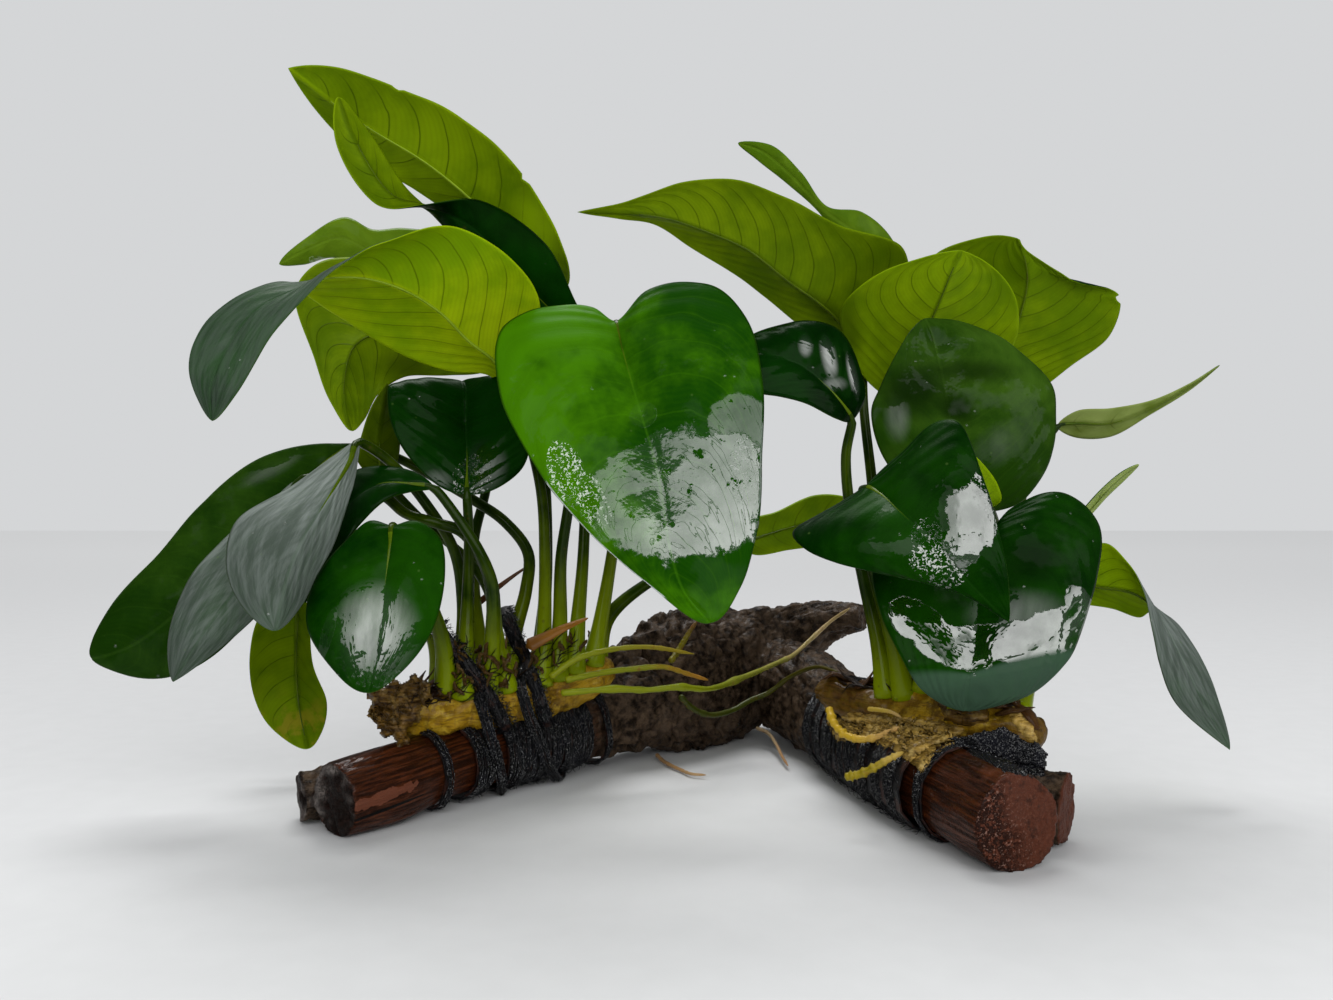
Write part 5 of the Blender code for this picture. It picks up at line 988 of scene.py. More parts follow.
def stalk_material(name, dark, light, shaded):
    """A glossy green leaf stalk, paler at its foot and, where shaded, darker above it as painted shade, with
    fine streaks along it.
    """
    look = Look(name)
    length, angle = look.uv("vein")
    share, _ = look.uv("place")
    place = look.place()
    streak = look.noise(look.vector(length * 60.0, angle * 9.0, 0.0), 1.0, 4.0, 0.6)
    mottle = look.noise(place, 130.0, 3.0)
    colour = look.mix(look.step(mottle * 0.5 + streak * 0.5, 0.36, 0.64), dark, light)
    if shaded:
        colour = look.mix(look.step(share, 0.0, 0.16, 0.90, 0.0), colour, (0.190, 0.250, 0.001))
        # Painted shade: darker above the foot, more on some stalks than others.
        differs = look.step(look.noise(place, 40.0, 1.0), 0.38, 0.60, 0.35, 1.0)
        colour = look.mix(look.step(share, 0.08, 0.22, 0.0, shaded) * differs, colour,
                          (0.008, 0.024, 0.0003))
    spot_near, pick = look.cells(place, 420.0)
    specks = look.step(spot_near, 0.1, 0.35, 1.0, 0.0) * look.step(pick, 0.82, 0.86)
    colour = look.mix(specks * 0.5, colour, (0.06, 0.045, 0.01))
    skin = look.bump(streak * 0.8 + mottle * 0.6, 0.00022, 1.0)
    roughness = mottle * 0.2 + 0.2
    shader = look.shader(Base_Color=colour, Roughness=roughness, IOR=1.42, Normal=skin, Coat_Weight=0.16,
                         Coat_Roughness=0.10, Specular_IOR_Level=0.06, Specular_Tint=(0.7, 1.0, 0.4))
    return look.done(shader)


# Leaves


def leaf_spec(plant, shows, foot, base, tip, stalk, rows):
    """A leaf's numbers by name, its stalk as places and its rows as three places each."""
    places = [tuple(rows[i:i + 3]) for i in range(0, len(rows), 3)]
    return {"plant": plant, "shows": shows, "foot": foot, "base": base, "tip": tip,
            "stalk": [tuple(stalk[i:i + 3]) for i in range(0, len(stalk), 3)],
            "rows": [places[i:i + 3] for i in range(0, len(places), 3)]}


def turned_rows(spec):
    """The blade's rows as points, with margins ordered so that across x along points out of the top."""
    rows = [tuple(seen(*p) for p in row) for row in spec["rows"]]
    facing = 0.0
    for here, ahead in zip(rows[:3], rows[1:4]):
        normal = (here[2] - here[0]).cross(ahead[1] - here[1])
        facing += normal.dot(EYE - here[1])
    wanted = 1.0 if spec["shows"] == TOP else -1.0
    if facing * wanted < 0.0:
        rows = [(row[2], row[1], row[0]) for row in rows]
    return rows


def bitten(line, middle, bites, side, share):
    """Draws a margin in towards the midrib where it is torn or eaten."""
    line = line.copy()
    for at, which, depth, width in bites:
        if which != side:
            continue
        inward = unit(middle - line)
        dent = np.clip(1.0 - (np.abs(share - at) / width) ** 1.5, 0.0, 1.0)
        line += inward * (depth * dent)[:, None]
    return line


def blade_surface(spec, look):
    """The fine middle surface of a blade: points, and along, across, edge and phase there."""
    base, tip = seen(*spec["base"]), seen(*spec["tip"])
    rows = turned_rows(spec)
    columns = [[base, *[row[k] for row in rows], tip] for k in range(3)]
    steps = []
    for i in range(len(rows) + 1):
        longest = max((columns[k][i + 1] - columns[k][i]).length for k in range(3))
        steps.append(max(3, min(22, round(longest / MESH_STEP))))
    before = [rows[0][2], seen(*spec["stalk"][-1]), rows[0][0]]
    lines = []
    for k in range(3):
        after = tip + (tip - columns[k][-2]) * 0.6
        if k != 1:
            after = after.lerp(rows[-1][2 - k], look.get("round", 0.2))
        lines.append(spline([before[k], *columns[k], after], steps))
    one, middle, other = lines
    part = np.linspace(0.0, 1.0, len(middle))
    one = bitten(one, middle, look.get("bites", ()), -1, part)
    other = bitten(other, middle, look.get("bites", ()), 1, part)
    normal = np.cross(other - one, np.gradient(middle, axis=0))
    normal[0], normal[-1] = normal[1], normal[-2]
    normal = unit(normal)
    for _ in range(3):
        normal[1:-1] = unit(normal[:-2] + 2 * normal[1:-1] + normal[2:])
    length = run(middle)
    share = length / length[-1]
    widest = max(np.linalg.norm(margin - middle, axis=1).max() for margin in (one, other))
    half = max(4, min(30, round(widest / MESH_STEP)))
    out = np.linspace(0.0, 1.0, half + 1)
    out = out * (1.0 + 0.25 * (1.0 - out))
    sides = []
    for margin in (one, other):
        reach = np.linalg.norm(margin - middle, axis=1)
        control = 0.5 * (margin + middle) + 2 * BLADE_BULGE * reach[:, None] * normal
        s = out[None, :, None]
        curve = (1 - s) ** 2 * middle[:, None] + 2 * s * (1 - s) * control[:, None] + s ** 2 * margin[:, None]
        sides.append((curve, reach))
    points = np.concatenate([sides[0][0][:, :0:-1], sides[1][0]], axis=1)
    v = np.concatenate([-out[:0:-1], out])
    reach = np.where(v[None, :] < 0, sides[0][1][:, None], sides[1][1][:, None])
    slope = look.get("slope", 0.34) * np.abs(v) + 0.50 * np.abs(v) ** 2.2
    phase = share[:, None] - widest / length[-1] * slope[None, :]
    return points, share, v, v[None, :] * reach, (1 - np.abs(v))[None, :] * reach, phase, half, widest


def grid_normals(points):
    """Unit normals of a grid of points, out of the blade's top."""
    normal = np.cross(np.gradient(points, axis=1), np.gradient(points, axis=0))
    normal[np.linalg.norm(normal, axis=-1) < 1e-9] = 0
    normal = unit(normal)
    normal[0], normal[-1] = normal[1].copy(), normal[-2].copy()
    return normal


def relief_of(points, v, edge, phase, veins, seed, strength, size):
    """How far each point of the blade stands off its smooth surface, in metres."""
    height = np.zeros(points.shape[:2])
    shift = Vector((seed * 3.1, seed * 1.7, 0.0))
    for i, j in np.ndindex(height.shape):
        place = Vector(points[i, j])
        broad = noise.noise(place * 28.0 + shift)
        wave = noise.noise(place * 75.0 + shift) * abs(v[j]) ** 3
        height[i, j] = (0.0007 * broad + 0.0008 * wave) * size
    fade = np.clip(edge / 0.006, 0, 1) * np.clip(np.abs(v)[None, :] / 0.12, 0, 1)
    height += 0.00005 * strength * np.cos(2 * math.pi * phase * veins) * fade
    rising, falling = np.linspace(0, 1, len(points)), np.linspace(1, 0, len(points))
    return height * (np.clip(rising / 0.06, 0, 1) * np.clip(falling / 0.05, 0, 1))[:, None]


def stalk_and_rib(spec, stem_tree, ridge_line, blade_start, widest):
    """Path, radii and flatness of a stalk that goes on as the blade's midrib, and where the stalk ends."""
    stalk = [seen(*p) for p in spec["stalk"]] + [seen(*spec["base"])]
    heading = (stalk[0] - stalk[1]).normalized()
    hit = stem_tree.ray_cast(stalk[1], heading, 0.09)[0]
    if hit is not None:
        stalk[0] = hit + heading * FOOT_SINK
    path = spline([2 * stalk[0] - stalk[1], *stalk, Vector(blade_start)], 8)
    foot = spec["foot"]
    from_foot = run(path)
    radii = foot + (STALK_TOP_RADIUS - foot) * np.linspace(0, 1, len(path))
    radii *= 1 + 0.35 * np.exp(-(from_foot / 0.028) ** 2) + 0.45 * np.exp(-(from_foot / 0.0080) ** 1.5)
    slim = min(1.0, widest / 0.014) ** 2
    ridge = ridge_line[1:int(len(ridge_line) * (0.30 + 0.56 * slim))]
    fall = (1 - np.linspace(0, 1, len(ridge))) ** 0.8
    swell = fall * (0.35 + 0.65 * np.exp(-np.arange(len(ridge)) / 9.0)) * (0.3 + 0.7 * slim)
    ridge_radii = RIB_END_RADIUS + (STALK_TOP_RADIUS * 0.80 - RIB_END_RADIUS) * swell
    flats = np.concatenate([np.full(len(path) - 1, 1.0), np.linspace(1.0, 0.8, len(ridge))])
    return np.concatenate([path[:-1], ridge]), np.concatenate([radii[:-1], ridge_radii]), flats, len(path)


def leaf(name, spec, stem_tree, seed):
    """A leaf: a thin blade with a rounded edge, a sunken midrib on top, and its stalk and raised midrib."""
    look = LOOKS[name]
    points, share, v, across, edge, phase, half, widest = blade_surface(spec, look)
    size = min(1.0, (widest / 0.022) ** 2)
    relief = relief_of(points, v, edge, phase, look["veins"], seed, look.get("relief", 1.0), size)
    points = points + grid_normals(points) * relief[..., None]
    normal = grid_normals(points)
    rounding = np.sqrt(np.clip(1 - (1 - np.clip(edge / 0.0008, 0, 1)) ** 2, 0, 1))
    rounding[:, 0] = rounding[:, -1] = 0.0
    rib = np.exp(-((across / 0.0009) ** 2)) * np.clip(1.15 - share, 0, 1)[:, None]
    top = points + normal * (0.5 * LEAF_THICKNESS * rounding - 0.00022 * rib)[..., None]
    bottom = points - normal * (0.5 * LEAF_THICKNESS * rounding + 0.00030 * rib)[..., None]
    wide, tall = len(v), len(points) - 2
    faces = []
    for i in range(tall - 1):
        for j in range(wide - 1):
            a = i * wide + j
            faces.append([a, a + 1, a + wide + 1, a + wide])
    for j in range(wide - 1):
        low = (tall - 1) * wide + j
        faces += [[tall * wide, j + 1, j], [low, low + 1, tall * wide + 1]]
    maps = [
        (phase, across, [[0.0, 0.0], [1.0, 0.0]]),
        (edge, np.full_like(edge, widest), [[0.0, widest], [0.0, widest]]),
        (np.repeat(share[:, None], wide, axis=1), np.repeat(v[None, :], tall + 2, axis=0),
         [[0.0, 0.0], [1.0, 0.0]]),
    ]
    maps = [np.concatenate([np.stack([one[1:-1], two[1:-1]], axis=-1).reshape(-1, 2), ends])
            for one, two, ends in maps]
    shape = Shape()
    for slot, grid in enumerate((top, bottom)):
        shape.add(np.concatenate([grid[1:-1].reshape(-1, 3), [grid[0].mean(0), grid[-1].mean(0)]]),
                  [face[::-1] for face in faces] if slot else faces, slot, *maps)
    ridge_line = bottom[:, half] + normal[:, half] * 0.00010
    path, radii, flats, stalk_end = stalk_and_rib(spec, stem_tree, ridge_line, points[2, half], widest)
    before = len(shape.slots)
    shape.add_tube(path, radii, 12, flats, slot=2, rising=True)
    for number in range(before + (stalk_end + 1) * 12, before + (len(path) - 1) * 12):
        shape.slots[number] = 3
    made = shape.finish(name, [
        top_material(name + "_top", look),
        under_material(name + "_underside", look, 0.8 if name == "left_hanging_leaf" else 0.0),
        STALK_LOOK,
        PALE_RIB_LOOK if "rib" in look else RIB_LOOK,
    ])
    welded = bmesh.new()
    welded.from_mesh(made.data)
    bmesh.ops.remove_doubles(welded, verts=welded.verts, dist=0.000002)
    welded.to_mesh(made.data)
    welded.free()
    return hand_over(made, "leaf_top" if spec["shows"] == TOP else "leaf_underside", name)


# Driftwood


def limb_ring(centre, along, half_width, half_height, roughness, clearance, seed):
    """Points round a limb, with the ridges and hollows of weathered wood."""
    flat = Vector((along.x, along.y, 0.0)).normalized()
    side = Vector((flat.y, -flat.x, 0.0))
    up = side.cross(along).normalized()
    ring = []
    for step in range(LIMB_RING_POINTS):
        angle = 2 * math.pi * step / LIMB_RING_POINTS
        cosine, sine = math.cos(angle), math.sin(angle)
        out = side * cosine + up * sine
        swell = 1.0 + roughness * 2.0 * noise.noise(centre * 70.0 + out * 1.7 + Vector((seed, 0.0, 0.0)))
        point = centre + side * cosine * half_width * swell + up * sine * half_height * swell
        point.z = max(point.z, clearance)
        ring.append(point)
    return ring


def limb_mesh(name, places, seed):
    """Points and faces of one limb, smooth between the CAD's rings."""
    centres = [spot(*place[:3]) for place in places]
    clearances = LIMB_CLEARANCE.get(name, [0.0] * len(places))
    rough = BARK_DEPTH * SMOOTH_LIMBS.get(name, 1.0)
    rings = []
    for i, place in enumerate(places):
        ahead, behind = centres[min(i + 1, len(centres) - 1)], centres[max(i - 1, 0)]
        rings.append(limb_ring(centres[i], (ahead - behind).normalized(), place[3] / 1000, place[4] / 1000,
                               rough, clearances[i] / 1000, seed))
    columns = [through([ring[k] for ring in rings], 6) for k in range(LIMB_RING_POINTS)]
    rows = []
    for loop in zip(*columns):
        rows.append(spline([loop[-1], *loop, loop[0], loop[1]], 4)[:-1])
    points = np.concatenate(rows)
    points[:, 2] = np.maximum(points[:, 2], 0.0)
    return points, ring_faces(len(rows), len(rows[0]))


def limb_axes():
    """Every limb's middle line, cut fine: points, directions, lengths along, and radii."""
    found = []
    for number, (name, places) in enumerate(LIMBS.items()):
        line = through([spot(*p[:3]) for p in places], 10)
        sizes = through([(p[3] / 1000, p[4] / 1000, 0.0) for p in places], 10)
        along = unit(np.gradient(line, axis=0))
        found.append((name, number, line, along, run(line) + number * LIMB_GRAIN_SHIFT, sizes[:, :2].mean(1)))
    return found


def grain_of(points, axes):
    """For each point: its limb, its length along it, and its place across it."""
    best = np.full(len(points), 1e9)
    limb_number = np.zeros(len(points), int)
    where = np.zeros((len(points), 3))
    for _, number, line, along, length, radius in axes:
        for i in range(len(line)):
            offset = points - line[i]
            near = np.linalg.norm(offset, axis=1) / radius[i]
            closer = near < best
            best[closer] = near[closer]
            limb_number[closer] = number
            side = unit(np.array((along[i][1], -along[i][0], 0.0)))
            up = np.cross(side, along[i])
            where[closer, 0] = length[i] + offset[closer] @ along[i]
            where[closer, 1] = offset[closer] @ side
            where[closer, 2] = offset[closer] @ up
    return limb_number, where


def bareness(limb_number, where):
    """One where the wood is stripped and smooth, none where it is rough."""
    bare = np.zeros(len(limb_number))
    left = limb_number == 0
    bare[left] = np.clip((0.115 - where[left, 0]) / 0.02, 0, 1)
    right = limb_number == 2
    bare[right] = np.clip((where[right, 0] - 0.62 - 0.075) / 0.02, 0, 1)
    return bare


def wood_blank():
    """The limbs joined into one fine skin."""
    shape = Shape()
    for seed, (name, places) in enumerate(LIMBS.items()):
        shape.add(*limb_mesh(name, places, seed), 0)
    mesh = bpy.data.meshes.new("wood_source")
    mesh.from_pydata(np.concatenate(shape.points).tolist(), [], shape.faces)
    source = placed("wood_source", mesh)
    remesh = source.modifiers.new("remesh", "REMESH")
    remesh.mode = "VOXEL"
    remesh.voxel_size = WOOD_VOXEL
    bpy.context.view_layer.update()
    fine = bpy.data.meshes.new_from_object(source.evaluated_get(bpy.context.evaluated_depsgraph_get()))
    bpy.data.objects.remove(source)
    return fine


def sawn_share(points, normals, axes):
    """One where a point lies on a sawn end, none elsewhere."""
    cut = np.zeros(len(points))
    for name, _, line, along, _, radius in axes:
        for end, heading in ((0, -along[0]), (-1, along[-1])):
            if (name, end) not in CUT_ENDS:
                continue
            beyond = (points - line[end]) @ heading
            across = np.linalg.norm(points - line[end] - np.outer(beyond, heading), axis=1)
            here = (np.abs(beyond) < 0.003) & (across < radius[end] * 1.5)
            cut[here] = np.maximum(cut[here], np.clip(((normals @ heading)[here] - 0.45) / 0.3, 0, 1))
    return cut


def worn_depth(point, along, x, y, bare, cut, soft_end):
    """How far the wood's skin stands off the plain limb here, in metres."""
    place = Vector(point)
    streak = noise.noise(Vector((along * 55.0, x * 420.0, y * 420.0)))
    crack = max(0.0, 1.0 - abs(noise.noise(Vector((along * 22.0 + 7.0, x * 150.0, y * 150.0)))) * 9.0)
    lumps = noise.fractal(place * 190.0, 0.9, 2.1, 4)
    rough = 0.0011 * lumps + 0.00035 * noise.noise(place * 640.0) - 0.0009 * crack - 0.0005
    smooth = 0.00013 * streak - 0.00045 * crack * crack + 0.00025 * noise.noise(place * 90.0)
    worn = 0.0012 if soft_end else 0.0004
    split = max(0.0, 1.0 - abs(noise.noise(place * 95.0)) * 7.0)
    sawn = 0.0003 * noise.noise(place * 700.0) + worn * noise.noise(place * 170.0) - worn * split
    if -0.026 < place.x < 0.058:
        rough += 0.0026 * max(0.0, noise.noise(place * 125.0)) - 0.0011 * max(0.0, noise.noise(place * 260.0))
    if -0.046 < place.x < 0.036 and place.y < 0.05:
        chips = min(1.0, max(0.0, (noise.noise(place * 215.0) - 0.02) * 5.0))
        low = min(1.0, max(0.0, (0.015 - place.z) / 0.006)) if abs(place.x + 0.004) > 0.006 else 0.0
        high = min(1.0, max(0.0, (place.z - 0.040) / 0.005))
        rough += chips * (0.0019 * high - 0.0028 * low)
    return (rough * (1 - bare) + smooth * bare) * (1 - cut) + sawn * cut


def driftwood():
    """One piece of wood: the limbs joined, then worn, cracked and roughened along the grain."""
    fine = wood_blank()
    shape = bmesh.new()
    shape.from_mesh(fine)
    bmesh.ops.smooth_vert(shape, verts=shape.verts, factor=0.5, use_axis_x=True, use_axis_y=True,
                          use_axis_z=True)
    shape.normal_update()
    co = np.array([v.co[:] for v in shape.verts])
    normals = np.array([v.normal[:] for v in shape.verts])
    shape.free()
    axes = limb_axes()
    limb_number, where = grain_of(co, axes)
    bare = bareness(limb_number, where)
    cut = sawn_share(co, normals, axes)
    soft_ends = np.isin(limb_number, (0, 3))
    depth = np.array([worn_depth(co[i], *where[i], bare[i], cut[i], soft_ends[i]) for i in range(len(co))])
    co = co + normals * depth[:, None]
    co[:, 2] = np.maximum(co[:, 2], 0.0)
    piece = Shape()
    piece.add(co, [list(p.vertices) for p in fine.polygons], 0,
              where[:, :2], np.stack([where[:, 2], cut], axis=1), np.stack([bare, cut], axis=1))
    bpy.data.meshes.remove(fine)
    return hand_over(piece.finish("driftwood", [wood_material()]), "driftwood", *LIMBS)


def wood_material():
    """Wet dark driftwood: streaked along the grain, granular where rough, reddish where bare or sawn, with
    painted glints and a painted sheen on sawn ends.
    """
    look = Look("wet_driftwood")
    length, one = look.uv("vein")
    other, cut = look.uv("size")
    bare, _ = look.uv("place")
    place = look.place()
    long = look.vector(length * 0.07, one, other)
    streak = look.noise(long, 1100.0, 5.0, 0.65)
    band = look.noise(look.vector(length * 0.1, one, other), 190.0, 3.0, 0.5)
    lump = look.noise(place, 260.0, 5.0, 0.7)
    patch = look.noise(place, 45.0, 3.0, 0.6)
    grit = look.noise(place, 1500.0, 3.0, 0.7)
    stripped = look.mix(look.step(streak, 0.38, 0.68), (0.0150, 0.0038, 0.0010), (0.080, 0.0200, 0.0055))
    stripped = look.mix(look.step(band, 0.44, 0.68, 0.0, 0.55), stripped, (0.0040, 0.0018, 0.0012))
    stripped = look.mix(look.step(patch, 0.56, 0.74, 0.0, 0.55), stripped, (0.170, 0.046, 0.016))
    crust = look.mix(look.step(lump, 0.36, 0.66), (0.0085, 0.0050, 0.0028), (0.085, 0.056, 0.035))
    crust = look.mix(look.step(patch, 0.50, 0.70, 0.0, 0.55), crust, (0.120, 0.080, 0.052))
    colour = look.mix(bare, crust, stripped)
    right, up = look.millimetres()
    radius = look.math("SQRT", one ** 2.0 + other ** 2.0)
    rings = look.math("SINE", radius * 3100.0 + lump * 14.0)
    sawn = look.mix(look.step(rings, -0.8, 0.9), (0.084, 0.0245, 0.0130), (0.096, 0.0295, 0.0158))
    sawn = look.mix(look.step(grit, 0.52, 0.68, 0.0, 0.50), sawn, (0.150, 0.062, 0.038))
    shifted = (patch - 0.5) * 24.0 + right
    speck = look.step(look.noise(place, 620.0, 4.0, 0.75), 0.45, 0.53)
    speck = speck * look.step(shifted, 91.0, 100.0, 1.0, 0.06)
    # Painted glints: bright specks mixed into the colour of the sawn end, mostly on its left side.
    painted_glint = look.step(look.noise(place, 1300.0, 2.0, 0.6), 0.6, 0.66)
    painted_glint = painted_glint * look.step(shifted, 90.0, 106.0, 0.9, 0.06)
    sawn = look.mix(speck * 0.85, sawn, (0.009, 0.004, 0.0028))
    sawn = look.mix(painted_glint, sawn, (0.300, 0.170, 0.130))
    # Painted sheen: grey patches mixed into the colour of the sawn ends on the left.
    painted_end_sheen = look.mix(look.step(patch, 0.42, 0.56), (0.0070, 0.0050, 0.0040), (0.165, 0.145, 0.132))
    sawn = look.mix(look.step(right, -20.0, 20.0, 0.92, 0.0), sawn, painted_end_sheen)
    sawn = look.mix(look.step(lump, 0.52, 0.66, 0.0, 0.7), sawn, (0.022, 0.010, 0.007))
    ragged = look.noise(place, 160.0, 4.0, 0.6) - 0.5
    scraped = look.spot(right, up, (-89.0, 12.0, 7.5, 1.7, 12.0, 0.75, 3.0), ragged)
    colour = look.mix(scraped, colour, (0.150, 0.048, 0.026))
    rift = look.spot(right, up, (-90.0, 7.6, 13.0, 0.45, 10.3, 1.0, 1.0), ragged)
    colour = look.mix(rift, colour, (0.0010, 0.0006, 0.0005))
    colour = look.mix(cut, colour, sawn)
    height = rift * -2.0 + (speck * cut * -1.6 + (grit * 0.35 + (streak * 0.9 + lump * 0.9)))
    skin = look.bump(height, 0.0007, 1.0)
    shine = lump * 0.35 + 0.16 + cut * 0.1
    wet = (bare * 0.16 + 0.06) * look.step(streak * 0.5 + patch * 0.5, 0.42, 0.58, 0.25, 1.6)
    return look.done(look.shader(Base_Color=colour, Roughness=shine, IOR=1.45, Normal=skin,
                                 Coat_Weight=wet * (1.0 - cut * 0.8), Coat_Roughness=0.07,
                                 Specular_IOR_Level=0.06))


# Rhizomes


def rhizome(name, places, seed):
    """A lumpy creeping stem with ring scars and flaking skin."""
    line = through([spot(*p[:3]) for p in places], 12)
    sizes = through([(p[3] / 1000, 0.0, 0.0) for p in places], 12)[:, 0]
    share = np.linspace(0, 1, len(line))
    ends = np.sqrt(np.clip(1 - (1 - np.clip(np.minimum(share, 1 - share) / 0.05, 0, 1)) ** 2, 0.02, 1))
    sizes = sizes * (0.5 + 0.5 * ends)
    if name == "left_rhizome":
        sizes = sizes * (1 - 0.38 * np.exp(-share / 0.07))
    along = unit(np.gradient(line, axis=0))
    length = run(line)
    points, where, kinds = [], [], []
    for i in range(len(line)):
        side = unit(np.cross(along[i], (0.0, 0.0, 1.0)))
        up = np.cross(side, along[i])
        for k in range(RHIZOME_RING_POINTS):
            angle = 2 * math.pi * k / RHIZOME_RING_POINTS
            out = side * math.cos(angle) + up * math.sin(angle)
            place = Vector(line[i]) * 120.0 + Vector(out) * 1.2 + Vector((seed, 0, 0))
            swell = 1.0 + 2.0 * RHIZOME_LUMPS * noise.noise(place)
            bend = 0.0012 * noise.noise(Vector(line[i]) * 90.0 + Vector(out) * 0.8)
            scar = math.cos(2 * math.pi * (length[i] + bend * 2) / SCAR_SPACING)
            flake = noise.fractal(Vector(line[i]) * 260.0 + Vector(out) * 2.6, 0.8, 2.0, 4)
            points.append(line[i] + out * (sizes[i] * swell + 0.00010 * scar + 0.0009 * flake))
            where.append((length[i], k / RHIZOME_RING_POINTS))
            kinds.append((scar, share[i]))
    points = np.array(points)
    points[:, 2] = np.maximum(points[:, 2], 0.001)
    shape = Shape()
    shape.add(points, ring_faces(len(line), RHIZOME_RING_POINTS), 0, where, None, kinds)
    return hand_over(shape.finish(name, [rhizome_material(name, OLD_ENDS[name])]), "rhizome", name)


def rhizome_material(name, old_end):
    """Ochre stem skin: brown scars and fibres, paler flakes, dark dirt and dark brown old ends."""
    look = Look(name + "_skin")
    length, angle = look.uv("vein")
    scar, _ = look.uv("place")
    place = look.place()
    broad = look.noise(place, 70.0, 3.0, 0.6)
    lump = look.noise(place, 320.0, 5.0, 0.7)
    grit = look.noise(place, 1400.0, 3.0, 0.7)
    fibre = look.noise(look.vector(length * 120.0, angle * 60.0, broad), 1.0, 4.0, 0.65)
    colour = look.mix(look.step(broad, 0.35, 0.66), (0.160, 0.080, 0.0030), (0.440, 0.260, 0.0090))
    colour = look.mix(look.step(lump, 0.46, 0.66, 0.0, 0.60), colour, (0.540, 0.370, 0.0350))
    colour = look.mix(look.step(fibre, 0.50, 0.66, 0.0, 0.65), colour, (0.100, 0.050, 0.0060))
    colour = look.mix(look.step(scar, -1.0, -0.75, 0.35, 0.0), colour, (0.085, 0.036, 0.012))
    dirt = look.step(look.noise(place, 110.0, 4.0, 0.7), 0.52, 0.66)
    colour = look.mix(dirt * 0.7, colour, (0.04, 0.018, 0.004))
    right, _ = look.millimetres()
    shifted = (broad - 0.5) * 30.0 + right
    old = look.step(shifted, old_end[0], old_end[1])
    if name == "right_rhizome":
        old = look.larger(old, look.step(shifted, 72.0, 84.0, 1.0, 0.0))
    colour = look.mix(old * 0.8, colour,
                      look.mix(look.step(fibre, 0.35, 0.65), (0.012, 0.005, 0.0012), (0.085, 0.036, 0.005)))
    skin = look.bump(grit * 0.4 + (lump + fibre * 0.6), 0.0006, 1.0)
    roughness = lump * 0.4 + 0.25
    return look.done(look.shader(Base_Color=colour, Roughness=roughness, Normal=skin, Coat_Weight=0.16,
                                 Coat_Roughness=0.12, Specular_IOR_Level=0.08))


# Torn skin, fibres and litter on the stems


def inside(outline, x, y):
    """How far a picture point lies inside an outline, in picture points; less than nothing outside."""
    near, hits = 1e9, False
    for (ax, ay), (bx, by) in zip(outline, outline[1:] + outline[:1]):
        dx, dy = bx - ax, by - ay
        t = min(1.0, max(0.0, ((x - ax) * dx + (y - ay) * dy) / (dx * dx + dy * dy)))
        near = min(near, math.hypot(x - ax - t * dx, y - ay - t * dy))
        if (ay > y) != (by > y) and x < ax + (y - ay) * dx / dy:
            hits = not hits
    return near if hits else -near


def carried_point(tree, x, y, lift=0.0, bridge=None):
    """Where a picture point falls on the carrier, raised off it, or on the bridge where that is nearer."""
    way = (seen(x, y, 300) - EYE).normalized()
    hit, normal, _, _ = tree.ray_cast(EYE, way)
    if bridge is not None and (hit is None or hit.y > bridge / 1000.0 + 0.002 + EYE.y):
        return seen(x, y, bridge - lift * 1000.0)
    if hit is None:
        return None
    if normal.dot(way) > 0:
        normal = -normal
    return hit + normal * lift


def flap(name, outline, tree, thickness, material, bridge=None, torn=2.6):
    """Torn fibrous skin that lies on its carrier over an outline of the picture."""
    xs, ys = (np.arange(min(row) - 2, max(row) + 2, FLAP_STEP) for row in zip(*outline))
    number, top, bottom = {}, [], []
    for i, x in enumerate(xs):
        for j, y in enumerate(ys):
            deep = inside(outline, x, y) + torn * noise.noise(Vector((x * 0.16, y * 0.16, 3.0)))
            if deep < -FLAP_STEP or carried_point(tree, x, y, 0.0, bridge) is None:
                continue
            rise = 1.0 - math.exp(-max(deep, 0.0) / 3.0)
            ridges = noise.fractal(Vector((x * 0.10, y * 0.35, 1.0)), 0.9, 2.0, 4)
            number[i, j] = len(top)
            top.append(carried_point(tree, x, y, thickness * rise * (1.0 + 0.45 * ridges) - 0.0002, bridge))
            bottom.append(carried_point(tree, x, y, -0.0006, bridge))
    count = len(top)
    faces, sides = [], {}
    for (i, j), a in number.items():
        corners = [a, number.get((i + 1, j)), number.get((i + 1, j + 1)), number.get((i, j + 1))]
        if None in corners or max((top[p] - top[q]).length for p in corners for q in corners) > 0.005:
            continue
        faces += [corners[::-1], [count + c for c in corners]]
        for p, q in zip(corners, corners[1:] + corners[:1]):
            if (q, p) in sides:
                del sides[q, p]
            else:
                sides[p, q] = True
    faces += [[p, q, count + q, count + p] for p, q in sides]
    shape = Shape()
    shape.add([p[:] for p in top + bottom], faces, 0, [(p.x, p.z) for p in top + bottom])
    return hand_over(shape.finish(name, [material]))


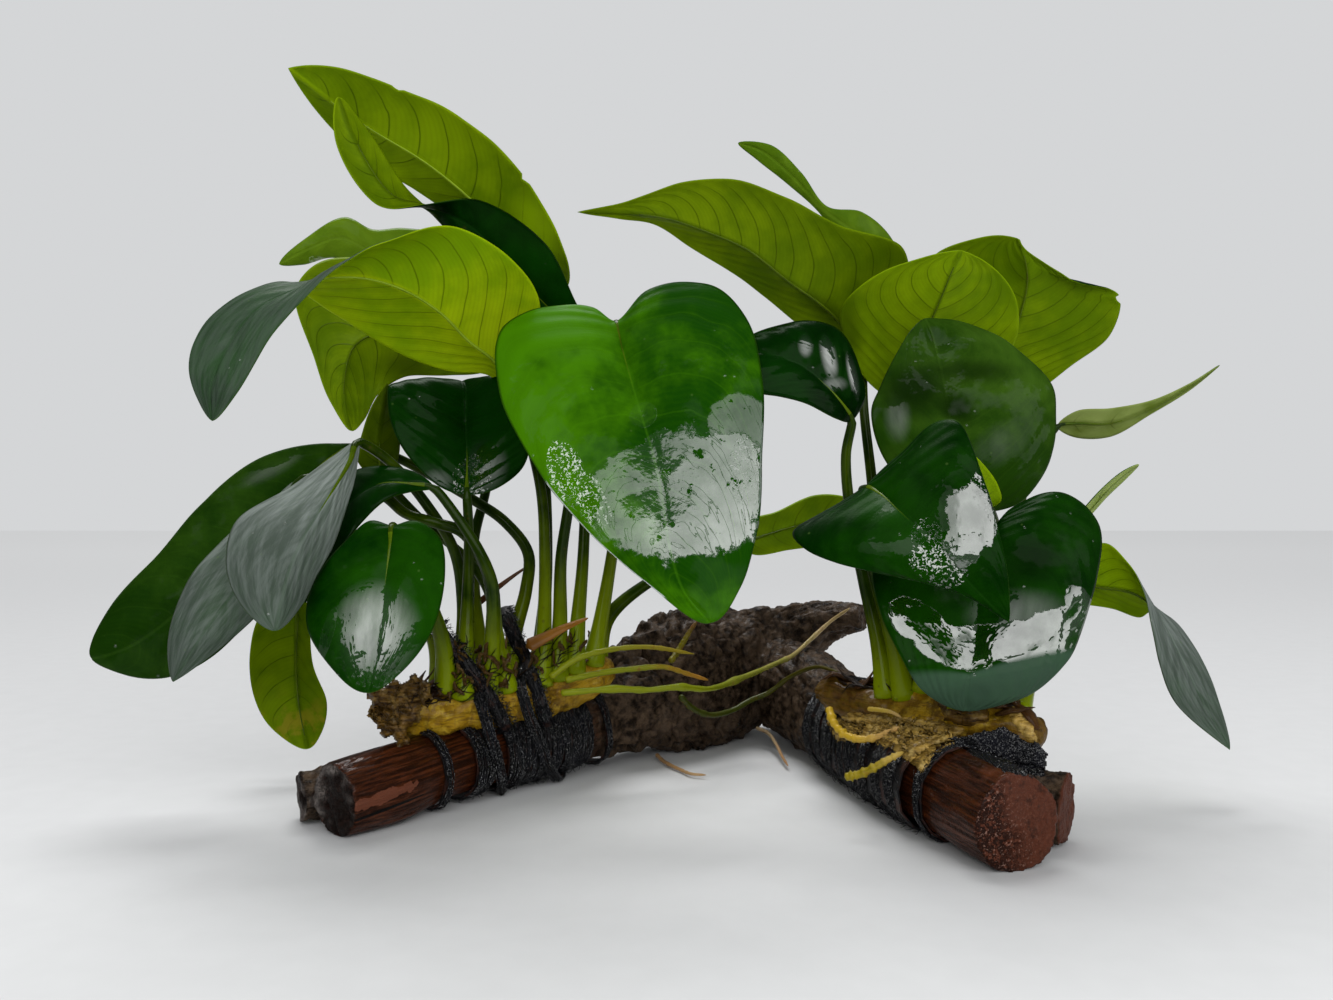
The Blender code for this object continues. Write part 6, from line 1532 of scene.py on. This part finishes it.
def skin_material(name, dark, light, pale):
    """Torn stem skin: fibres that run along it, with pale and dark streaks."""
    look = Look(name)
    right, up = look.uv("vein")
    place = look.place()
    fibre = look.noise(look.vector(right * 140.0, up * 700.0, 0.0), 1.0, 5.0, 0.65)
    lump = look.noise(place, 260.0, 4.0, 0.65)
    grit = look.noise(place, 1500.0, 3.0, 0.7)
    colour = look.mix(look.step(fibre, 0.34, 0.66), dark, light)
    colour = look.mix(look.step(lump, 0.50, 0.72, 0.0, 0.6), colour, pale)
    colour = look.mix(look.step(grit, 0.6, 0.75, 0.0, 0.5), colour, tint(dark, 0.3))
    skin = look.bump(fibre + lump * 0.5, 0.0007, 1.0)
    return look.done(look.shader(Base_Color=colour, Roughness=lump * 0.4 + 0.22, Normal=skin,
                                 Coat_Weight=0.16, Coat_Roughness=0.12, Specular_IOR_Level=0.1))


def fibres(name, outline, tree, count, heading, long, radius, material, seed):
    """Loose fibres that lie on their carrier inside an outline of the picture."""
    maker = random.Random(seed)
    xs, ys = zip(*outline)
    shape = Shape()
    made_so_far = 0
    for _ in range(count * 6):
        x, y = maker.uniform(min(xs), max(xs)), maker.uniform(min(ys), max(ys))
        if inside(outline, x, y) < 0 or made_so_far >= count:
            continue
        angle = math.radians(heading + maker.gauss(0, 24))
        size = long * maker.uniform(0.5, 1.3)
        bow = maker.uniform(-0.25, 0.25) * size
        path = []
        for i in range(7):
            t = i / 6 - 0.5
            px = x + math.cos(angle) * t * size - math.sin(angle) * bow * (1 - 4 * t * t)
            py = y + math.sin(angle) * t * size + math.cos(angle) * bow * (1 - 4 * t * t)
            path.append(carried_point(tree, px, py, radius * (1.5 + 2.5 * abs(t) + maker.uniform(0, 1.0))))
        if None in path or max((a - b).length for a, b in zip(path, path[1:])) > 0.003:
            continue
        thin = radius * np.array((0.4, 0.9, 1.0, 1.0, 1.0, 0.8, 0.3)) * maker.uniform(0.6, 1.2)
        shape.add_tube(path, thin, 5)
        made_so_far += 1
    return hand_over(shape.finish(name, [material]))


def litter(name, stem, tree, span, count, seed):
    """Curled brown scales and broken bits caught between the stalk feet, each lying on the stem."""
    maker = random.Random(seed)
    line = through([spot(*p[:3]) for p in RHIZOMES[stem]], 12)
    shape = Shape()
    for _ in range(count):
        at = int(len(line) * maker.uniform(*span))
        across = maker.uniform(-0.9, 0.5)
        foot = Vector(line[at]) + Vector((0.0, 0.0, 0.05))
        heading = Vector((maker.gauss(0, 1), maker.gauss(0, 0.5), 0.0)).normalized()
        side = Vector((0.0, across * 0.008, 0.0))
        size = maker.uniform(0.006, 0.015)
        tilt = maker.uniform(0.1, 1.1)
        path = []
        for i in range(6):
            t = i / 5
            hit = tree.ray_cast(foot + side + heading * (t * size), Vector((0, 0, -1)), 0.08)[0]
            if hit is None:
                break
            path.append(hit + Vector((0, 0, 0.0004 + size * tilt * t * t * 0.8)))
        if len(path) < 6:
            continue
        wide = maker.uniform(0.0009, 0.0030) * np.array((0.6, 1.0, 1.0, 0.8, 0.5, 0.15))
        shape.add_tube(path, wide, 6, [0.3] * 6, (heading.y, -heading.x, 0.0), slot=maker.randrange(2))
    return hand_over(shape.finish(name, [
        skin_material(name + "_dark", (0.0040, 0.0020, 0.0010), (0.030, 0.011, 0.003), (0.060, 0.024, 0.006)),
        skin_material(name + "_brown", (0.040, 0.014, 0.003), (0.140, 0.055, 0.009), (0.180, 0.085, 0.014)),
    ]))


# Thread


def thread_material():
    """Blue-black wet thread with twisted plies."""
    look = Look("black_thread")
    length, angle = look.uv("vein")
    place = look.place()
    twist = look.math("SINE", length * 9000.0 + angle * 12.566)
    fuzz = look.noise(place, 2600.0, 3.0, 0.7)
    broad = look.noise(place, 160.0, 3.0, 0.6)
    colour = look.mix(look.step(broad, 0.38, 0.68), (0.0012, 0.0013, 0.0022), (0.0060, 0.0066, 0.0105))
    colour = look.mix(look.step(fuzz, 0.58, 0.78, 0.0, 0.4), colour, (0.018, 0.020, 0.028))
    clump = look.noise(place, 900.0, 3.0, 0.6)
    skin = look.bump(clump * 1.5 + (twist * 0.3 + fuzz), 0.00045, 1.0)
    roughness = fuzz * 0.4 + 0.3
    glints = look.step(look.noise(place, 1900.0, 3.0, 0.6), 0.52, 0.60, 0.03, 1.0)
    return look.done(look.shader(Base_Color=colour, Roughness=roughness, Normal=skin, Specular_IOR_Level=0.10,
                                 Coat_Weight=glints, Coat_Roughness=0.07, Coat_Normal=skin, Coat_IOR=2.3))


def core_material():
    """What shows between the turns: dark wet thread underneath and a little wood."""
    look = Look("thread_underlayer")
    place = look.place()
    patch = look.noise(place, 180.0, 3.0, 0.6)
    grit = look.noise(place, 1800.0, 3.0, 0.7)
    colour = look.mix(look.step(patch, 0.45, 0.62), (0.0022, 0.0020, 0.0026), (0.0300, 0.0090, 0.0050))
    skin = look.bump(grit, 0.0003, 1.0)
    return look.done(look.shader(Base_Color=colour, Roughness=grit * 0.4 + 0.25, Normal=skin,
                                 Specular_IOR_Level=0.3))


def ring_axes(along):
    """The directions sideways and up across this heading."""
    side = unit(np.array((along[1], -along[0], 0.0)))
    return side, unit(np.cross(side, along))


def rows_at(at, lengths, *tables):
    """Each table's row at this length along."""
    return [np.array([np.interp(at, lengths, column) for column in table.T]) for table in tables]


def sleeve_radii(name, centres, alongs):
    """The outer radius of a winding's sleeve at each station and angle."""
    tree = mesh_tree([NODES[name]])
    table = []
    for centre, along in zip(centres, alongs):
        side, up = ring_axes(along)
        row = []
        for k in range(SLEEVE_ANGLES):
            angle = 2 * math.pi * k / SLEEVE_ANGLES
            out = Vector(side * math.cos(angle) + up * math.sin(angle))
            hit = tree.ray_cast(Vector(centre) + out * 0.06, -out, 0.06)[0]
            row.append((hit - Vector(centre)).length if hit is not None else np.nan)
        good = [r for r in row if r == r]
        fill = sum(good) / len(good) if good else 0.015
        table.append([r if r == r else fill for r in row])
    return np.array(table)


def winding(name, centres, alongs, probes, pitch, crossing, seed, band=None):
    """Many turns of thread in place of a sleeve, with a few that wander over them, over a dark core."""
    maker = random.Random(seed)
    centres, alongs = np.array(centres), np.array(alongs)
    table = sleeve_radii(name, probes, alongs)
    lengths = run(centres)
    total = lengths[-1]

    def on_sleeve(at, angle, lift):
        at = min(max(at, 0.0), total)
        centre, along = rows_at(at, lengths, centres, alongs)
        along = unit(along)
        place = angle / (2 * math.pi) * SLEEVE_ANGLES
        low, part = int(math.floor(place)) % SLEEVE_ANGLES, place - math.floor(place)
        here, there = (np.interp(at, lengths, table[:, k]) for k in (low, (low + 1) % SLEEVE_ANGLES))
        radius = here * (1 - part) + there * part + lift
        side, up = ring_axes(along)
        point = centre + radius * (math.cos(angle) * side + math.sin(angle) * up)
        point[2] = max(point[2], STRAND_RADIUS * 1.2)
        return point

    shape = Shape()
    turns = max(2, int(total / pitch))
    per_turn = 30
    path = []
    for i in range(turns * per_turn + 1):
        angle = 2 * math.pi * i / per_turn
        at = total * i / (turns * per_turn)
        if band is not None:
            at = (math.floor(at / band) + 0.60 * (at / band - math.floor(at / band))) * band
        sway = pitch * 5.0 * noise.noise(Vector((i * 0.07, seed, 0.0)))
        place = Vector((at * 260.0, math.cos(angle) * 1.3, math.sin(angle) * 1.3 + seed))
        lump = max(0.0, noise.noise(place))
        lift = 0.00022 + 0.00016 * noise.noise(Vector((i * 0.11, seed + 5.0, 0.0))) + 0.0014 * lump
        path.append(on_sleeve(at + sway, angle, lift))
    shape.add_tube(path, np.full(len(path), STRAND_RADIUS), 5)
    for _ in range(crossing):
        start = maker.uniform(0, total)
        slope = maker.uniform(-0.22, 0.22) * min(total, 0.02)
        first = maker.uniform(0, 2 * math.pi)
        angle_span = maker.uniform(1.6, 5.5)
        path = []
        steps = int(angle_span * 7) + 4
        for i in range(steps + 1):
            t = i / steps
            lift = 0.00048 + 0.00025 * math.sin(math.pi * t) + 0.0001 * maker.uniform(-1, 1)
            path.append(on_sleeve(start + slope * (t - 0.5) * 2, first + angle_span * t, lift))
        shape.add_tube(path, np.full(len(path), STRAND_RADIUS * maker.uniform(0.8, 1.25)), 5)
    add_hairs(shape, on_sleeve, total, int(total * WINDING_HAIRS), seed)
    core = NODES[name].data
    shape.add([v.co[:] for v in core.vertices], [list(p.vertices) for p in core.polygons], 1)
    return hand_over(shape.finish(name, [THREAD_LOOK, CORE_LOOK]), "thread", name)


def add_hairs(shape, on_surface, total, count, seed):
    """Short loose fibres that stand off the turns."""
    maker = random.Random(seed + 100)
    for _ in range(count):
        at, angle = maker.uniform(0, total), maker.uniform(0, 2 * math.pi)
        turn, slide = maker.uniform(-0.25, 0.25), maker.uniform(-0.0022, 0.0022)
        tall = maker.uniform(0.0006, 0.0022)
        path = []
        for i in range(5):
            t = i / 4
            lift = 0.0003 + tall * math.sin(math.pi * 0.5 * t)
            path.append(on_surface(at + slide * t, angle + turn * t, lift))
        shape.add_tube(path, np.linspace(0.00014, 0.00006, 5), 3)


def wrap(name, places, crossing, seed):
    """The turns of thread round a limb."""
    ends = np.array([spot(*p)[:] for p in places])
    line = through(ends, 6) if len(places) > 2 else np.linspace(ends[0], ends[1], 5)
    alongs = unit(np.gradient(line, axis=0))
    probes = line.copy()
    probes[0] += alongs[0] * PROBE_INSET
    probes[-1] -= alongs[-1] * PROBE_INSET
    banded = name == "right_wrap_wide"
    return winding(name, line, alongs, probes, 0.00050, crossing * (1 if banded else 2), seed,
                   BAND_SPACING if banded else None)


def tie(name, centre, heading, width, seed):
    """A bundle of strands drawn over the rhizome and round the limb."""
    along = unit(np.array(heading, float))
    middle = np.array(spot(*centre)[:])
    half = width / 2000.0
    centres = [middle + along * half * k for k in (-1.0, -0.5, 0.0, 0.5, 1.0)]
    probes = [middle + along * TIE_CORE * k for k in (-0.9, -0.45, 0.0, 0.45, 0.9)]
    return winding(name, centres, [along] * 5, probes, 0.00046, 12, seed)


def bundle(name, places, tree, wide, deep, count, seed):
    """A flat bundle of strands drawn over what carries it, along a line of the picture."""
    maker = random.Random(seed)
    line = through([(x, y, 0.0) for x, y in places], 10)
    ways, distances = [], []
    for x, y, _ in line:
        way = (seen(x, y, 300) - EYE).normalized()
        distance = tree.ray_cast(EYE, way)[3]
        ways.append(np.array(way))
        distances.append(np.nan if distance is None else distance)
    distances = np.array(distances)
    known = ~np.isnan(distances)
    distances = np.interp(np.arange(len(line)), np.arange(len(line))[known], distances[known])
    bridged = np.array([distances[max(0, i - 5):i + 6].min() for i in range(len(line))])
    for _ in range(6):
        bridged[1:-1] = (bridged[:-2] + 2 * bridged[1:-1] + bridged[2:]) / 4
    ways = np.array(ways)
    centres = np.array(EYE) + ways * (bridged - deep * 0.3)[:, None]
    centres[:4] += ways[:4] * np.array((0.007, 0.0045, 0.0022, 0.0008))[:, None]
    centres[-3:] += ways[-3:] * np.array((0.0006, 0.0016, 0.0030))[:, None]
    across = unit(np.cross(unit(np.gradient(centres, axis=0)), ways))
    lengths = run(centres)
    total = lengths[-1]

    def on_bundle(at, angle, lift):
        centre, side, way = rows_at(min(max(at, 0.0), total), lengths, centres, across, ways)
        return centre + side * math.cos(angle) * (wide / 2 + lift) - way * math.sin(angle) * (deep / 2 + lift)

    shape = Shape()
    steps = int(len(line) * 1.5)
    for k in range(count):
        first = maker.uniform(0, 2 * math.pi)
        turn = maker.uniform(-2.2, 2.2)
        inner = maker.uniform(-0.55, 0.10) * deep
        path = []
        for t in np.arange(steps) / (steps - 1):
            sway = 0.9 * noise.noise(Vector((t * 9.0, k * 3.7, seed)))
            path.append(on_bundle(total * t, first + turn * t + sway, inner))
        shape.add_tube(path, np.full(steps, STRAND_RADIUS * maker.uniform(1.0, 1.5)), 5)
    core = [on_bundle(t, 0.0, -wide / 2) for t in lengths]
    shape.add_tube(core, np.full(len(core), wide * 0.42), 10, np.full(len(core), 0.8 * deep / wide),
                   across[0], slot=1)
    add_hairs(shape, on_bundle, total, int(total * BUNDLE_HAIRS), seed)
    return hand_over(shape.finish(name, [THREAD_LOOK, CORE_LOOK]))


# Roots


def root_material(name, near, far, brown):
    """A root, one colour near the plant and another at its tip, with brown flecks and rings."""
    look = Look(name)
    length, angle = look.uv("vein")
    share, _ = look.uv("place")
    place = look.place()
    mottle = look.noise(place, 260.0, 4.0, 0.65)
    fine = look.noise(place, 1500.0, 3.0, 0.6)
    streak = look.noise(look.vector(length * 90.0, angle * 7.0, 0.0), 1.0, 4.0, 0.6)
    colour = look.mix(look.step(mottle * 0.35 + share, 0.55, 1.1), near, far)
    colour = look.mix(look.step(streak, 0.52, 0.7, 0.0, 0.45), colour, tint(near, 0.35))
    colour = look.mix(look.step(mottle, 0.60, 0.70, 0.0, brown), colour, (0.160, 0.055, 0.012))
    skin = look.bump(streak * 0.7 + fine, 0.00018, 1.0)
    roughness = mottle * 0.3 + 0.22
    return look.done(look.shader(Base_Color=colour, Roughness=roughness, Normal=skin, Coat_Weight=0.14,
                                 Coat_Roughness=0.10, Specular_IOR_Level=0.08))


def root(name, radius, kind, places, seed):
    """A root or a dead sheath: a slightly knotty tube that thins out towards its end."""
    line = through([seen(*p) for p in places], 10)
    share = np.linspace(0, 1, len(line))
    radius = radius * (1.12 if name in ("right_root_looping", "right_root_low") else 1.0)
    knots = np.array([noise.noise(Vector((t * 26.0, seed, 0.0))) for t in share])
    radii = radius * (1.0 - 0.45 * share ** 2) * (1 + 0.32 * knots)
    if name in ("right_root_looping", "right_root_low", "left_root_long"):
        for knot in (0.10, 0.31, 0.47, 0.66, 0.83):
            radii *= 1 + 0.38 * np.exp(-((share - knot) / 0.018) ** 2)
    radii[-3:] *= (0.85, 0.6, 0.3)
    flat = None
    if kind == DEAD_LEAF:
        radii = radius * (0.25 + 1.25 * share ** 0.8)
        radii[0] *= 0.4
        flat = np.full(len(line), 0.45)
    shape = Shape()
    shape.add_tube(line, radii, 12, flat, rising=True)
    return hand_over(shape.finish(name, [root_material(name + "_skin", *ROOT_COLOURS[name])]), kind, name)


# Stage


def stage():
    """The camera at the photograph's angle, a pale floor, a pale surround and soft lights."""
    data = bpy.data.cameras.new("camera")
    data.sensor_fit = "HORIZONTAL"
    data.sensor_width = 36.0
    data.lens = FOCAL_PX / PHOTO_SIZE[0] * 36.0
    data.shift_x = (PHOTO_SIZE[0] / 2 - EYE_LEVEL_PX[0]) / PHOTO_SIZE[0]
    data.shift_y = (EYE_LEVEL_PX[1] - PHOTO_SIZE[1] / 2) / PHOTO_SIZE[0]
    data.clip_start = 0.01
    camera = placed("camera", data)
    camera.location = EYE
    camera.rotation_euler = (math.radians(90), 0.0, 0.0)
    bpy.context.scene.camera = camera

    mesh = bpy.data.meshes.new("floor")
    corners = [(-FLOOR_REACH, -FLOOR_REACH, 0), (FLOOR_REACH, -FLOOR_REACH, 0), (FLOOR_REACH, FLOOR_REACH, 0),
               (-FLOOR_REACH, FLOOR_REACH, 0)]
    mesh.from_pydata(corners, [], [[0, 1, 2, 3]])
    look = Look("pale_floor")
    pale = look.mix(look.noise(look.place(), 90.0, 3.0), (0.56, 0.565, 0.57), (0.60, 0.605, 0.61))
    # Painted light: the floor is paler further back, where the lamps light it less.
    pale = look.mix(look.step(look.parts(look.place())[1], 0.3, 2.5), pale, (0.640, 0.645, 0.650))
    mesh.materials.append(look.done(look.shader(Base_Color=pale, Roughness=0.55, Specular_IOR_Level=0.25)))
    placed("floor", mesh)

    world = bpy.data.worlds.new("surround")
    world.use_nodes = True
    tree = world.node_tree
    background = tree.nodes["Background"]
    background.inputs[0].default_value = (0.80, 0.82, 0.84, 1.0)
    background.inputs[1].default_value = 0.22
    shown = tree.nodes.new("ShaderNodeBackground")
    shown.inputs[0].default_value = (0.66, 0.67, 0.68, 1.0)
    rays = tree.nodes.new("ShaderNodeLightPath")
    pick = tree.nodes.new("ShaderNodeMixShader")
    for number, source in enumerate((rays.outputs["Is Camera Ray"], background.outputs[0], shown.outputs[0])):
        tree.links.new(source, pick.inputs[number])
    tree.links.new(pick.outputs[0], tree.nodes["World Output"].inputs[0])
    bpy.context.scene.world = world

    lamp = bpy.data.lights.new("window_light", "AREA")
    lamp.shape = "RECTANGLE"
    lamp.size, lamp.size_y = 3.2, 1.2
    lamp.energy = 32.0
    window = placed("window_light", lamp)
    window.location = (0.26, -1.40, 0.92)
    window.rotation_euler = (Vector((0.0, 0.0, 0.10)) - window.location).to_track_quat("-Z", "Y").to_euler()

    lamp = bpy.data.lights.new("ceiling_light", "SUN")
    lamp.energy = 2.8
    lamp.angle = math.radians(38)
    heading = Vector((0.12, -0.42, -1.0))
    placed("ceiling_light", lamp).rotation_euler = heading.to_track_quat("-Z", "Y").to_euler()


def dressed(*starts, without=()):
    """The pieces made so far whose names start in these ways."""
    starts = tuple("looks_" + each for each in starts)
    found = [each for each in bpy.context.scene.objects if each.name.startswith(starts)]
    return [each for each in found if not any(part in each.name for part in without)]


bpy.context.scene.view_settings.view_transform = "Standard"
stage()
THREAD_LOOK = thread_material()
CORE_LOOK = core_material()
STALK_LOOK = stalk_material("green_stalk", (0.007, 0.020, 0.0003), (0.046, 0.078, 0.0008), 0.85)
RIB_LOOK = stalk_material("midrib", (0.040, 0.075, 0.0010), (0.085, 0.135, 0.002), 0.0)
PALE_RIB_LOOK = stalk_material("pale_midrib", (0.170, 0.270, 0.010), (0.260, 0.380, 0.020), 0.0)

driftwood()
stem_trees = {}
for number, (each, places) in enumerate(RHIZOMES.items()):
    stem_trees[each.split("_")[0]] = mesh_tree([rhizome(each, places, number * 7.0)])
for number, (each, row) in enumerate(LEAVES.items()):
    spec = leaf_spec(*row)
    leaf(each, spec, stem_trees[spec["plant"]], number)
for number, (each, (radius, kind, places)) in enumerate(ROOTS.items()):
    root(each, radius, kind, places, number)
for number, (each, (places, crossing)) in enumerate(WRAPS.items()):
    wrap(each, places, crossing, number)
for number, (each, (centre, heading, width)) in enumerate(TIES.items()):
    tie(each, centre, heading, width, 20 + number)

STRAW = skin_material("straw_skin", (0.110, 0.060, 0.007), (0.480, 0.310, 0.070), (0.640, 0.480, 0.180))
DARK_SKIN = skin_material("dark_skin", (0.0030, 0.0016, 0.0010), (0.022, 0.009, 0.003), (0.050, 0.022, 0.008))
BROWN_SKIN = skin_material("brown_skin", (0.016, 0.0065, 0.0012), (0.150, 0.078, 0.012),
                           (0.290, 0.190, 0.055))
carriers = dressed("right_wrap", "driftwood", "right_rhizome")
right_tree = mesh_tree(carriers)
apron = flap("right_skin_apron", RIGHT_APRON, right_tree, 0.0016, STRAW)
flap("right_brown_sheath", RIGHT_SHEATH, right_tree, 0.0022, BROWN_SKIN)
flap("right_straw_end", RIGHT_STRAW, right_tree, 0.0012, STRAW)
flap("right_tangle", RIGHT_TANGLE, right_tree, 0.0012, THREAD_LOOK, RIGHT_BRIDGE)
left_tree = mesh_tree(dressed("left_rhizome", "driftwood", "left_wrap"))
sheath = flap("left_brown_sheath", LEFT_SHEATH, left_tree, 0.0026, BROWN_SKIN, LEFT_BRIDGE, 4.5)
bundle_tree = mesh_tree(dressed("left", "centre", "driftwood",
                                without=("round_leaf", "hanging_leaf", "heart")))
bundle("left_tie_outer_strands", LEFT_TIES[0], bundle_tree, 0.0050, 0.0020, 46, 41)
bundle("left_tie_inner_strands", LEFT_TIES[1], bundle_tree, 0.0046, 0.0020, 42, 42)
bpy.context.view_layer.update()
fibres("left_scales", LEFT_GAPS, bundle_tree, 46, 75.0, 15.0, 0.00075, BROWN_SKIN, 9)
fibres("left_rootlets", LEFT_GAPS, bundle_tree, 70, -35.0, 24.0, 0.00020, DARK_SKIN, 10)
fibres("right_fibres", RIGHT_APRON, mesh_tree([apron, *carriers]), 90, -20.0, 11.0, 0.00016, STRAW, 5)
left_carriers = [sheath, bpy.data.objects["looks_left_rhizome"]]
fibres("left_fibres", LEFT_SHEATH, mesh_tree(left_carriers), 50, 60.0, 12.0, 0.00016, BROWN_SKIN, 6)
litter("left_litter", "left_rhizome", stem_trees["left"], (0.04, 0.80), 130, 7)
litter("right_litter", "right_rhizome", stem_trees["right"], (0.10, 0.90), 50, 8)

bpy.context.view_layer.update()
